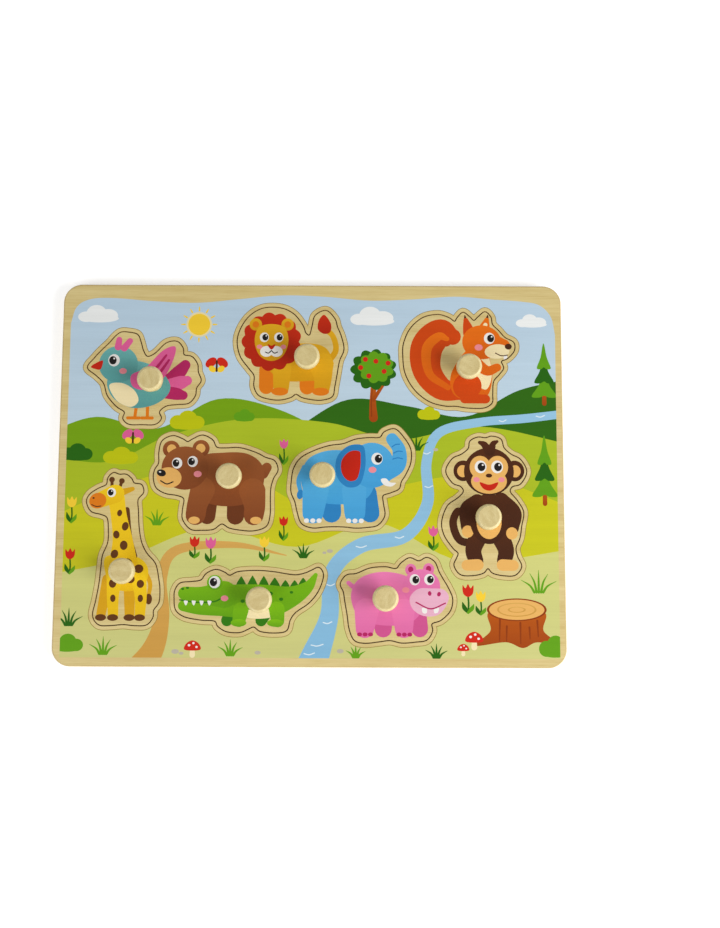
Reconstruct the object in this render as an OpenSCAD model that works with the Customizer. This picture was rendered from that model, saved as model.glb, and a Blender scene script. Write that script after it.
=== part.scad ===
// Peg puzzle: a plywood board with nine animal pieces that lift out of their pockets by turned knobs.
// Origin at the middle of the underside, +X along the long side, +Y away from the player, +Z up.
// Lengths are millimetres.

/* [Board] */
// Board length along X
board_w = 300; // [280:1:340]
// Board depth along Y
board_d = 228; // [214:1:260]
// Radius of the board's four corners
board_corner = 11; // [6:1:20]
// Thickness of the front panel, and of the pieces cut from it
front_thick = 5; // [4:0.25:8]
// Thickness of the back panel that closes the pockets
back_thick = 3; // [2.5:0.25:5]
// Radius of the sanded round on the board's outer edges
edge_ease = 0.8; // [0.3:0.1:1.5]

/* [Pieces] */
// Wood left between the pieces and the board's edge along X
side_wood = 16; // [12:0.5:22]
// Wood left between the pieces and the board's edge along Y
end_wood = 14; // [10:0.5:20]
// Size of the animal pieces, 1 for the outlines as drawn
piece_scale = 1; // [0.85:0.01:1.05]
// Gap between a piece and the wall of its pocket
pocket_gap = 0.5; // [0.3:0.05:0.9]

/* [Knobs] */
// Widest diameter of a knob
knob_dia = 15; // [12:0.5:18]
// Height of a knob above its piece
knob_h = 14; // [12:0.5:18]
// Diameter of a knob's waist
waist_dia = 9.6; // [8:0.2:12]
// Diameter of a knob's foot
foot_dia = 10.8; // [9:0.2:13]
// Height of the waist above the piece
waist_h = 3.6; // [2.5:0.1:5]
// Height of the widest ring above the piece
ring_h = 9.8; // [8:0.1:11]
// Radius of the knob's rounded shoulder
shoulder = 1.6; // [1:0.1:2.4]

/* [Screws] */
// Shank diameter of a screw
screw_dia = 3; // [2.5:0.1:3.5]
// Head diameter of a screw
head_dia = 6.4; // [5.5:0.1:7.5]
// Depth of a screw's head below the underside of its piece
head_recess = 0.3; // [0.1:0.05:0.6]
// Length of the screw inside the knob
screw_bite = 8; // [5:0.25:9]
// Length of the screw's pointed tip
tip_len = 2.4; // [1.5:0.1:3.5]
// Width of the slots of the cross recess
cross_slot = 0.7; // [0.5:0.05:0.9]
// Length of the slots of the cross recess
cross_len = 3.2; // [2.4:0.1:4]
// Depth of the cross recess
cross_depth = 0.9; // [0.5:0.05:1.2]

/* [Fits] */
// Clearance round the shank inside the piece
shank_gap = 0.15; // [0.05:0.05:0.3]
// Clearance round the shank inside the knob
bite_gap = 0.03; // [0.02:0.01:0.06]
// Room beyond the screw's tip at the end of the knob's hole
tip_room = 0.6; // [0.3:0.1:1]

/* [Hidden] */
// Height of the pocket floors, on which the pieces rest
floor_z = back_thick;
// Height of the board's top face
top_z = back_thick + front_thick;
// A countersunk head's cone has a right angle at its point
head_h = (head_dia - screw_dia) / 2;
// Length that cutters reach past a face
cut_over = 1;
// Points along each span of an outline
curve_steps = 4;
// Sides of the round parts
turned_fn = 48;
// Sides of a board corner
corner_fn = 32;
// Steps along the round of an edge or a shoulder
round_steps = 4;
// Steps along each span of a knob's flare
flare_steps = 5;

// Each slot is [centre x, centre y, knob x, knob y], with the knob measured from the slot's centre
bird_slot = [-101.5, 55.8, 5.5, -2];
lion_slot = [-14, 71.6, 11.5, -4];
squirrel_slot = [89.5, 68, 5, -6];
bear_slot = [-58, -6.4, 10, 3];
elephant_slot = [23.8, -2.6, -16.5, 0];
monkey_slot = [104.5, -19, 0.8, -8];
giraffe_slot = [-111.6, -46, 2, -13];
crocodile_slot = [-36.2, -74, 7, -1];
hippo_slot = [52.7, -75, -8, 1];

// Points that each piece's outline runs through, from its slot's centre, anticlockwise
// Round the bird: beak, breast, feet, tail, wing, crest
bird_outline = [
  [-34.6, 7.2], [-29.2, 2.4], [-24.5, -2.5], [-22, -10], [-16.5, -16.5], [-11.5, -20],
  [-12.2, -24.2], [-8.5, -27.4], [-1, -27.6], [7, -27.4], [10.6, -24], [9.4, -19.8], [13.5, -16.2],
  [20, -15.2], [27, -14.4], [30.8, -10], [31.6, -5], [34.2, -0.6], [32.4, 4.6], [31.8, 9.6],
  [28.4, 14], [23.6, 15.2], [22.8, 19.4], [19.2, 23.4], [12.8, 22.4], [6.4, 16.2], [1.5, 14],
  [-1.2, 17.6], [-2.8, 22.8], [-5, 27.6], [-10.4, 29], [-15, 29], [-18.6, 26.2], [-21.6, 22.6],
  [-26.8, 17.4], [-30.6, 13]
];
// Round the lion: mane, legs, rump, tail, mane again
lion_outline = [
  [-31.4, 8], [-29.4, -1.5], [-24, -9], [-20.8, -13.5], [-20.8, -20], [-18, -25.4], [-12, -27.6],
  [-5, -28.2], [1.4, -26.6], [4.5, -24.6], [8.2, -26.6], [13.5, -27.8], [20, -28.2], [26.4, -26],
  [27.8, -20], [29.2, -12], [30.6, -4], [33.2, 3], [31.6, 11], [29.2, 17], [27.6, 22], [22.4, 27],
  [16, 24], [14.2, 17.6], [12.6, 11.8], [10, 13], [8.2, 17.6], [2.8, 24.6], [-5, 28.4],
  [-15.6, 28.4], [-23.6, 24], [-29, 16.6]
];
// Round the squirrel: tail, foot, arm, snout, ears, tail again
squirrel_outline = [
  [-34, 3], [-32.6, -8], [-27, -18], [-18.5, -25], [-9, -27.8], [-2, -28], [5, -29], [14.5, -29],
  [19.6, -26], [20, -20.6], [20.6, -13], [24, -8.6], [26.8, -4.6], [25.6, -0.4], [29.4, 1.6],
  [33.4, 6.2], [33.2, 11.2], [28, 14.2], [24.2, 18.4], [20.4, 22.4], [19.4, 27], [16, 30.2],
  [12, 27.2], [9.2, 24.8], [6.4, 27.2], [2.6, 29.8], [-0.8, 26.6], [-2.6, 24.2], [-6.4, 26.6],
  [-13, 28.4], [-22, 26.4], [-29.4, 19.8], [-33.4, 11]
];
// Round the bear: muzzle, legs, rump, back, ears
bear_outline = [
  [-36.4, 3.4], [-34.6, -2.8], [-29, -6.2], [-22, -7.4], [-17.8, -9.6], [-18.4, -16], [-18.2, -22],
  [-13.5, -27.6], [-7, -28.2], [0, -27.6], [5, -24.4], [9.6, -26.8], [16, -28], [24, -28.4],
  [31.4, -25.8], [33.6, -19], [33.6, -10], [33.8, -3], [35.4, 3], [38, 8], [36, 13.4],
  [30.6, 15.4], [24.6, 18.4], [15, 21.2], [6, 21], [1, 21.6], [-1.6, 26], [-7.6, 28.8],
  [-13.4, 26.4], [-16.4, 24.8], [-19.4, 26.4], [-25.4, 28.4], [-31.6, 25.4], [-33.4, 18.6],
  [-33.4, 12], [-35.6, 8]
];
// Round the elephant: tail, legs, tusk, trunk, brow, back
elephant_outline = [
  [-35.2, -2], [-35.4, -9], [-33, -15], [-31.6, -21], [-29, -27.8], [-22.6, -30.4], [-15, -29.8],
  [-9, -29.6], [-3, -29.8], [3, -30.4], [10, -30], [16.4, -28.6], [20.4, -23], [19.6, -16],
  [19.4, -11], [24, -9.2], [29, -6.8], [30.4, -2.4], [33, 1.8], [36, 9], [36, 17], [32, 24],
  [26.6, 29.2], [20.4, 27.4], [17.6, 24], [11, 23.8], [3, 22.8], [-4.6, 20], [-13, 18.8],
  [-22.4, 15.6], [-30, 11.2], [-34, 5]
];
// Round the monkey: tail, feet, arm, ear, tuft, ear, arm
monkey_outline = [
  [-25.8, -10], [-24.4, -18], [-19.4, -25.4], [-16.2, -28.6], [-17, -31.6], [-18.6, -36],
  [-15, -41.2], [-8, -41.8], [-1.6, -40.4], [1.4, -37.6], [4.4, -40.4], [11, -41.8], [17.6, -41.4],
  [21.2, -36.4], [18.8, -30.6], [18, -25.4], [20.4, -19.5], [21.6, -12], [22.8, -4], [19, 3],
  [15, 8], [16.4, 11.4], [21.4, 13.2], [25, 20.4], [21.4, 27.6], [16, 30.6], [11.6, 34.6],
  [9.8, 39.8], [4.6, 41.6], [0.6, 40.6], [-4, 41], [-8.6, 38.6], [-9.6, 34.2], [-13.8, 30.6],
  [-19.4, 27.8], [-23.2, 20.6], [-19.4, 13.6], [-14.4, 11.4], [-12.8, 8], [-16.4, 4],
  [-22.4, -0.6]
];
// Round the giraffe: muzzle, neck, hooves, tail, neck, ear, horns
giraffe_outline = [
  [-22.4, 28.6], [-19.6, 23], [-13.6, 21.2], [-9.8, 19], [-8.8, 12], [-9, 4], [-11.8, -3.4],
  [-12.6, -11], [-13.4, -20], [-15, -30], [-16.6, -39], [-13, -44.2], [-6, -44.6], [1.4, -44],
  [8, -44.6], [15, -44.2], [18.6, -40], [19, -35.6], [22, -31], [22.4, -24], [21.6, -17.6],
  [19.4, -8.4], [14, -2], [10.6, 5], [9, 14], [8.4, 23], [8, 30], [11.2, 34.4], [10, 38.8],
  [5.6, 39.8], [3.8, 42.6], [0.6, 45], [-3.4, 45], [-7, 46], [-10, 43], [-11, 38.8], [-15.8, 36.4],
  [-20.6, 33]
];
// Round the crocodile: snout, feet, tail, back, brow
crocodile_outline = [
  [-44, 0], [-43, -7], [-37.6, -11], [-28, -12.8], [-20, -13.4], [-17.8, -16.6], [-12.6, -19.6],
  [-5, -20], [0, -18], [3.4, -16.8], [7.4, -19.4], [16, -20.2], [22.6, -18.8], [24.6, -12.6],
  [28, -8], [35.6, -2.6], [41.2, 4.6], [44, 13.4], [41.6, 18], [37.2, 16.4], [33.6, 14.8],
  [28, 13.6], [22, 14.2], [16, 15.2], [8, 16], [0, 16], [-7, 15.2], [-11.4, 13.2], [-15, 15.2],
  [-20, 16.6], [-25.4, 14.2], [-28.4, 10.4], [-34, 9.4], [-40.6, 8.6], [-43.6, 4.6]
];
// Round the hippo: tail, legs, muzzle, ears, back
hippo_outline = [
  [-34.4, 9.6], [-32.6, 5], [-31.6, -1], [-30.2, -9], [-29, -17], [-26, -23.4], [-20, -25],
  [-12, -24.2], [-5, -23.4], [2, -24.8], [10, -24.2], [16.6, -23], [19.8, -18], [19.6, -13.6],
  [25, -11.4], [30.4, -6], [31.8, 1], [29.2, 7.6], [26.6, 12], [23.8, 17], [21.4, 22.6],
  [16.8, 25.2], [12, 23.2], [6.6, 25], [1.6, 22], [-1.6, 18.6], [-8, 19.6], [-17, 18.8],
  [-25, 15.6], [-31, 14.6]
];

// The layout as it is drawn: each slot with its outline
layout = [
  [bird_slot, bird_outline], [lion_slot, lion_outline], [squirrel_slot, squirrel_outline],
  [bear_slot, bear_outline], [elephant_slot, elephant_outline], [monkey_slot, monkey_outline],
  [giraffe_slot, giraffe_outline], [crocodile_slot, crocodile_outline], [hippo_slot, hippo_outline]
];
// Farthest that a drawn outline reaches from the board's middle, along X and along Y
reach = [for (axis = [0, 1]) max([for (entry = layout, p = entry[1]) abs(entry[0][axis] + p[axis])])];
// Board size that the layout is drawn for
layout_size = 2 * (reach + [side_wood, end_wood]);
// How much the board is longer and deeper than that
spread = [board_w / layout_size[0], board_d / layout_size[1]];
// Size of an outline against its drawing: the pieces grow and shrink with the board
outline_scale = piece_scale * min(spread);

elephant_blue = [0.27, 0.62, 0.81];
bear_brown = [0.55, 0.31, 0.15];
bird_teal = [0.38, 0.65, 0.64];
board_green = [0.74, 0.77, 0.30];
crocodile_green = [0.44, 0.67, 0.05];
giraffe_yellow = [0.93, 0.77, 0.09];
hippo_pink = [0.89, 0.45, 0.67];
lion_gold = [0.84, 0.63, 0.09];
monkey_brown = [0.29, 0.14, 0.05];
plywood = [0.87, 0.78, 0.58];
squirrel_orange = [0.88, 0.41, 0.05];
steel = [0.72, 0.73, 0.74];
turned_wood = [0.84, 0.76, 0.56];

// Places of a slot

function slot_centre(slot) = [slot[0] * spread[0], slot[1] * spread[1]];
function knob_place(slot) = slot_centre(slot) + outline_scale * [slot[2], slot[3]];

// Curves through hand-placed points

function between(a, b, c, d, t) =
  0.5 * (2 * b + (c - a) * t + (2 * a - 5 * b + 4 * c - d) * t * t + (3 * b - a - 3 * c + d) * t * t * t);

function closed_curve(p) = [
  for (i = [0:len(p) - 1], k = [0:curve_steps - 1])
    let (n = len(p))
    between(p[(i + n - 1) % n], p[i], p[(i + 1) % n], p[(i + 2) % n], k / curve_steps)
];

function open_curve(p, steps) =
  let (last = len(p) - 1)
  [
    for (i = [0:last - 1], k = [0:i == last - 1 ? steps : steps - 1])
      between(
        i > 0 ? p[i - 1] : 2 * p[0] - p[1],
        p[i],
        p[i + 1],
        i + 2 <= last ? p[i + 2] : 2 * p[last] - p[last - 1],
        k / steps
      )
  ];

// A piece's outline in its slot: a smooth curve through the outline's points
module outline(slot, points) {
  translate(slot_centre(slot))
    scale(outline_scale)
      polygon(closed_curve(points));
}

// The blank that a sheet of the board is shaped from
module blank() {
  square([board_w + 2 * cut_over, board_d + 2 * cut_over], center = true);
}

// The front panel's blank, with a hole for each piece that is wider than the piece by the pocket gap
module holed_blank() {
  offset(delta = -pocket_gap)
    difference() {
      offset(delta = pocket_gap)
        blank();
      outline(bird_slot, bird_outline);
      outline(lion_slot, lion_outline);
      outline(squirrel_slot, squirrel_outline);
      outline(bear_slot, bear_outline);
      outline(elephant_slot, elephant_outline);
      outline(monkey_slot, monkey_outline);
      outline(giraffe_slot, giraffe_outline);
      outline(crocodile_slot, crocodile_outline);
      outline(hippo_slot, hippo_outline);
    }
}

// One corner of a sheet, turned: its upper edge rounded by the ease
module corner_puck(thick) {
  rotate_extrude($fn = corner_fn)
    polygon([
      [0, 0],
      [board_corner, 0],
      for (i = [0:round_steps])
        let (a = 90 * i / round_steps)
        [board_corner - edge_ease * (1 - cos(a)), thick - edge_ease * (1 - sin(a))],
      [0, thick]
    ]);
}

// A sheet of the board: its blank, given as a child, with rounded corners and an eased upper edge
module sheet(thick) {
  intersection() {
    linear_extrude(thick)
      children();
    hull()
      for (x = [-1, 1], y = [-1, 1])
        translate([x * (board_w / 2 - board_corner), y * (board_d / 2 - board_corner), 0])
          corner_puck(thick);
  }
}

// A piece: the sheet cut to its outline, with the countersunk hole for its screw
module piece(slot, points) {
  difference() {
    translate([0, 0, floor_z])
      linear_extrude(front_thick)
        outline(slot, points);
    translate([knob_place(slot)[0], knob_place(slot)[1], floor_z]) {
      translate([0, 0, -cut_over])
        cylinder(h = front_thick + 2 * cut_over, d = screw_dia + 2 * shank_gap, $fn = turned_fn);
      translate([0, 0, -cut_over])
        cylinder(h = head_recess + cut_over, d = head_dia, $fn = turned_fn);
      translate([0, 0, head_recess])
        cylinder(h = head_h, d1 = head_dia, d2 = screw_dia, $fn = turned_fn);
    }
  }
}

// Half the section of a knob: foot, waist, flare to the widest ring, rounded shoulder, flat top
module knob_section() {
  flare = open_curve([[foot_dia / 2, 0], [waist_dia / 2, waist_h], [knob_dia / 2, ring_h]], flare_steps);
  polygon([
    [0, 0],
    for (p = flare) p,
    for (i = [0:round_steps])
      let (a = 90 * i / round_steps)
      [knob_dia / 2 - shoulder * (1 - cos(a)), knob_h - shoulder * (1 - sin(a))],
    [0, knob_h]
  ]);
}

// A knob: turned, with the blind hole that the screw bites into
module knob(slot) {
  translate([knob_place(slot)[0], knob_place(slot)[1], top_z])
    difference() {
      rotate_extrude($fn = turned_fn)
        knob_section();
      translate([0, 0, -cut_over])
        cylinder(h = cut_over + screw_bite + tip_room, d = screw_dia + 2 * bite_gap, $fn = turned_fn);
    }
}

// A screw: countersunk head down, shank up through the piece, point in the knob
module screw(slot) {
  shank_end = front_thick + screw_bite - tip_len;
  translate([knob_place(slot)[0], knob_place(slot)[1], floor_z])
    difference() {
      rotate_extrude($fn = turned_fn)
        polygon([
          [0, head_recess],
          [head_dia / 2, head_recess],
          [screw_dia / 2, head_recess + head_h],
          [screw_dia / 2, shank_end],
          [0, shank_end + tip_len]
        ]);
      for (turn = [0, 90])
        rotate(turn)
          translate([-cross_len / 2, -cross_slot / 2, head_recess - cut_over])
            cube([cross_len, cross_slot, cross_depth + cut_over]);
    }
}

// Sub-parts

module front_panel() {
  color(board_green)
    translate([0, 0, floor_z])
      sheet(front_thick)
        holed_blank();
}

module back_panel() {
  color(plywood)
    translate([0, 0, back_thick])
      mirror([0, 0, 1])
        sheet(back_thick)
          blank();
}

module bird_piece() {
  color(bird_teal)
    piece(bird_slot, bird_outline);
}

module lion_piece() {
  color(lion_gold)
    piece(lion_slot, lion_outline);
}

module squirrel_piece() {
  color(squirrel_orange)
    piece(squirrel_slot, squirrel_outline);
}

module bear_piece() {
  color(bear_brown)
    piece(bear_slot, bear_outline);
}

module elephant_piece() {
  color(elephant_blue)
    piece(elephant_slot, elephant_outline);
}

module monkey_piece() {
  color(monkey_brown)
    piece(monkey_slot, monkey_outline);
}

module giraffe_piece() {
  color(giraffe_yellow)
    piece(giraffe_slot, giraffe_outline);
}

module crocodile_piece() {
  color(crocodile_green)
    piece(crocodile_slot, crocodile_outline);
}

module hippo_piece() {
  color(hippo_pink)
    piece(hippo_slot, hippo_outline);
}

module wooden_knob(slot) {
  color(turned_wood)
    knob(slot);
}

module steel_screw(slot) {
  color(steel)
    screw(slot);
}

front_panel();
back_panel();
bird_piece();
wooden_knob(bird_slot);  // bird_knob
steel_screw(bird_slot);  // bird_screw
lion_piece();
wooden_knob(lion_slot);  // lion_knob
steel_screw(lion_slot);  // lion_screw
squirrel_piece();
wooden_knob(squirrel_slot);  // squirrel_knob
steel_screw(squirrel_slot);  // squirrel_screw
bear_piece();
wooden_knob(bear_slot);  // bear_knob
steel_screw(bear_slot);  // bear_screw
elephant_piece();
wooden_knob(elephant_slot);  // elephant_knob
steel_screw(elephant_slot);  // elephant_screw
monkey_piece();
wooden_knob(monkey_slot);  // monkey_knob
steel_screw(monkey_slot);  // monkey_screw
giraffe_piece();
wooden_knob(giraffe_slot);  // giraffe_knob
steel_screw(giraffe_slot);  // giraffe_screw
crocodile_piece();
wooden_knob(crocodile_slot);  // crocodile_knob
steel_screw(crocodile_slot);  // crocodile_screw
hippo_piece();
wooden_knob(hippo_slot);  // hippo_knob
steel_screw(hippo_slot);  // hippo_screw
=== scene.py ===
"""Dresses the peg puzzle's frame: printed plywood board and pieces, turned knobs, plated screws, studio."""

import math

import bpy
import numpy as np
from mathutils import Matrix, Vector
from mathutils.geometry import delaunay_2d_cdt


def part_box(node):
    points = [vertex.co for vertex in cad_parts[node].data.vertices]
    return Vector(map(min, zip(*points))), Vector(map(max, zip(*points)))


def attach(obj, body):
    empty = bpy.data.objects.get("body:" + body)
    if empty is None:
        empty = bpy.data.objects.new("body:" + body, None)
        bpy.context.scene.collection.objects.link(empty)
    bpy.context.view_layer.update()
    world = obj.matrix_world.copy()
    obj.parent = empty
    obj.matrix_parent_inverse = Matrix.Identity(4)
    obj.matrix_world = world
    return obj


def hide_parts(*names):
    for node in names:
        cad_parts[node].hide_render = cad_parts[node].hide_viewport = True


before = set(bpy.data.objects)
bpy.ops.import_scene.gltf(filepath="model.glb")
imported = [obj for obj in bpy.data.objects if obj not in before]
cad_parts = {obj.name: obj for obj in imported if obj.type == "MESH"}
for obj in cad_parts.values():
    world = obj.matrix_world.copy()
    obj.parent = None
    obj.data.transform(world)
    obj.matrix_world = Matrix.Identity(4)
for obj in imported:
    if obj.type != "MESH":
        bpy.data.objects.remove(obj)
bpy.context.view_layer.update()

MM = 0.001

# Board, in millimetres, as the part's source has it
CORNER = 11.0
OUTER_EASE = 0.8
SEAM_EASE = 0.15
POCKET_GAP = 0.5
CUT_EASE = 0.12
LOWER_EASE = 0.15
HEAD_RECESS = 0.3
SHANK_HOLE = 3.3

# Print: bare wood left along the board's edges and round each pocket
BARE_LEFT, BARE_RIGHT, BARE_FOOT = 4.8, 4.0, 5.4
RIM = 2.1
RIM_LINE = 0.35

# The print's waving head, from its right end to its left
PRINT_HEAD = (
    (146.0, 84.0), (143.6, 95.0), (137.0, 102.0), (127.0, 104.2), (108.0, 105.6), (86.0, 107.2),
    (60.0, 105.4), (34.0, 104.6), (8.0, 106.8), (-18.0, 107.6), (-44.0, 105.2), (-70.0, 102.8),
    (-96.0, 103.8), (-120.0, 105.6), (-134.0, 104.8), (-142.0, 100.0), (-145.2, 90.0),
)

# Each animal's slot centre, and the size at which its figure is drawn into its outline
SLOTS = {
    "bird": (-101.5, 55.8, 0.93),
    "lion": (-14.0, 71.6, 0.94),
    "squirrel": (89.5, 68.0, 1.0),
    "bear": (-58.0, -6.4, 0.98),
    "elephant": (23.8, -2.6, 0.95),
    "monkey": (104.5, -19.0, 1.0),
    "giraffe": (-111.6, -46.0, 0.98),
    "crocodile": (-36.2, -74.0, 1.0),
    "hippo": (52.7, -75.0, 0.97),
}

# Inks in sRGB, 0 to 255.
# An ink with two colours fades from the first, at a shape's top, to the second, at its foot.
INKS = {
    "black": [(22, 18, 17)],
    "white": [(240, 237, 232)],
    "cream": [(243, 226, 178)],
    "blush": [(238, 142, 152)],
    "bear": [(152, 86, 42), (128, 66, 30)],
    "bear_shade": [(104, 52, 22)],
    "tan": [(232, 178, 98)],
    "umber": [(78, 38, 13), (62, 29, 10)],
    "elephant": [(84, 172, 222), (66, 158, 214)],
    "elephant_shade": [(44, 128, 190)],
    "scarlet": [(196, 34, 14)],
    "lion": [(226, 172, 28), (208, 150, 16)],
    "lion_shade": [(222, 120, 18)],
    "mane": [(196, 44, 12), (174, 34, 10)],
    "squirrel": [(232, 112, 16), (216, 96, 12)],
    "squirrel_shade": [(206, 70, 10)],
    "teal": [(108, 176, 172), (86, 154, 152)],
    "pink": [(222, 94, 150)],
    "rose": [(178, 36, 94)],
    "hippo": [(234, 124, 178), (222, 106, 164)],
    "hippo_shade": [(206, 84, 142)],
    "muzzle": [(232, 176, 198)],
    "crocodile": [(124, 186, 16), (98, 160, 12)],
    "crocodile_shade": [(48, 118, 12)],
    "giraffe": [(242, 204, 28), (232, 186, 20)],
    "giraffe_shade": [(216, 162, 22)],
    "spot": [(96, 54, 18)],
    "muzzle_orange": [(224, 124, 22)],
    "sky": [(186, 209, 226), (202, 219, 228)],
    "sun": [(246, 206, 54)],
    "glow": [(236, 222, 168)],
    "cloud": [(240, 242, 240)],
    "far_hill": [(44, 100, 8)],
    "wood_hill": [(118, 162, 12), (104, 146, 8)],
    "lime": [(172, 190, 36), (160, 178, 28)],
    "meadow": [(202, 200, 26), (196, 192, 30)],
    "lawn": [(208, 208, 122), (204, 202, 132)],
    "path": [(214, 166, 84), (202, 150, 66)],
    "stream": [(150, 196, 224), (128, 182, 216)],
    "ripple": [(222, 236, 242)],
    "leaf": [(96, 158, 18)],
    "deep_leaf": [(34, 96, 6)],
    "bush": [(190, 194, 8)],
    "bark": [(186, 88, 14), (158, 66, 6)],
    "bark_shade": [(140, 56, 5)],
    "apple": [(206, 38, 20)],
    "stone": [(186, 178, 160)],
    "rim_line": [(150, 124, 58)],
}


# Curves and drawn shapes: each gives the points of one closed loop, in millimetres


def spline(points, per=8, closed=False):
    """Catmull-Rom curve.

    Between two points it is the cubic that leaves and arrives along the chords of their neighbours.
    """
    p = np.asarray(points, float)
    if closed:
        q = np.concatenate([p[-1:], p, p[:2]])
    else:
        q = np.concatenate([2 * p[:1] - p[1:2], p, 2 * p[-1:] - p[-2:-1]])
    a, b, c, d = (q[i : len(q) - 3 + i, None, :] for i in range(4))
    t = np.linspace(0, 1, per, endpoint=False)[None, :, None]
    curve = 0.5 * (2 * b + (c - a) * t + (2 * a - 5 * b + 4 * c - d) * t**2 + (3 * b - a - 3 * c + d) * t**3)
    curve = curve.reshape(-1, p.shape[1])
    return curve if closed else np.concatenate([curve, p[-1:]])


def blob(*points, per=8):
    """Smooth closed shape through its points."""
    return spline(points, per, closed=True)


def oval(x, y, rx, ry, tilt=0.0, count=40):
    """Ellipse: the cosine and sine of an angle, stretched by the two radii and turned by the tilt."""
    t = np.linspace(0, 2 * np.pi, count, endpoint=False)
    c, s = math.cos(math.radians(tilt)), math.sin(math.radians(tilt))
    u, v = rx * np.cos(t), ry * np.sin(t)
    return np.stack([x + u * c - v * s, y + u * s + v * c], 1)


def limb(*path, cap=9):
    """Rounded stroke along a spline of (x, y, half width).

    Both sides run at half a width from the spline, and a half circle closes each end.
    """
    s = spline(path)
    centre, half = s[:, :2], s[:, 2]
    along = np.gradient(centre, axis=0)
    along /= np.linalg.norm(along, axis=1)[:, None]
    across = np.stack([-along[:, 1], along[:, 0]], 1) * half[:, None]

    def round_end(i, direction):
        turn = np.arctan2(direction[1], direction[0]) + np.linspace(np.pi / 2, -np.pi / 2, cap)[1:-1]
        return centre[i] + half[i] * np.stack([np.cos(turn), np.sin(turn)], 1)

    return np.concatenate(
        [centre + across, round_end(-1, along[-1]), (centre - across)[::-1], round_end(0, -along[0])]
    )


def scallop(x, y, r, bumps, depth, squeeze=1.0, count=156):
    """Circle with round bumps, squeezed in y.

    The radius dips by the depth between the bumps, as the absolute value of a sine.
    """
    t = np.linspace(0, 2 * np.pi, count, endpoint=False)
    radius = r - depth + depth * np.abs(np.sin(bumps * t / 2))
    return np.stack([x + radius * np.cos(t), y + squeeze * radius * np.sin(t)], 1)


def stroke(x0, y0, x1, y1, sag, half=0.38):
    """Thin arc between two points that sags below their middle."""
    return limb((x0, y0, half), ((x0 + x1) / 2, (y0 + y1) / 2 - sag, half), (x1, y1, half))


def eye(x, y, r, look=0.0):
    """White, pupil and glint. look moves the pupil sideways, in parts of the white's radius."""
    pupil = x + look * r
    return [
        ("white", oval(x, y, r, r * 1.08)),
        ("black", oval(pupil, y, r * 0.66, r * 0.74, count=28)),
        ("white", oval(pupil + r * 0.22, y + r * 0.32, r * 0.16, r * 0.16, count=14)),
    ]


# The animals' figures: (ink, loop) in painter's order, from the slot's centre


def bear_figure():
    """Bear on all fours, walking left."""
    return [
        ("bear", limb((30, 6, 3.6), (32.5, 9.5, 3.0))),
        ("bear_shade", limb((15, -6, 6.0), (14, -20, 5.2))),
        ("bear_shade", limb((-2, -6, 5.5), (-3, -20, 5.0))),
        ("bear", blob(
            (31, 2), (29, 12), (20, 18), (6, 18.5), (-8, 16),
            (-14, 4), (-10, -8), (2, -13.5), (16, -13.5), (27, -9),
        )),
        ("bear", limb((24, -5, 8.0), (25.5, -14, 6.4), (25, -19.5, 6.0))),
        ("bear", limb((-6, -4, 7.5), (-9, -13, 6.2), (-10, -19.5, 6.0))),
        ("bear", oval(-25.5, 20.5, 5.2, 5.2)),
        ("bear", oval(-7.5, 21, 5.2, 5.2)),
        ("tan", oval(-25.3, 20.6, 2.8, 2.8)),
        ("tan", oval(-7.7, 21.1, 2.8, 2.8)),
        ("bear", oval(-17, 9, 14.2, 13.2)),
        ("tan", oval(-26.5, 3.2, 7.6, 6.2, -8)),
        ("black", oval(-31.2, 6.0, 2.8, 2.1, -15)),
        ("white", oval(-32.0, 6.6, 0.7, 0.45, -15, 14)),
        ("black", stroke(-31.5, 1.2, -24.0, 0.6, 1.6)),
        ("tan", oval(26.3, -22.6, 3.4, 2.2)),
        ("tan", oval(-10.8, -22.6, 3.4, 2.2)),
        *eye(-21.8, 12.0, 3.1, -0.22),
        *eye(-12.4, 13.0, 3.1, -0.22),
        ("blush", oval(-9.2, 5.4, 2.4, 1.9)),
    ]


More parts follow.
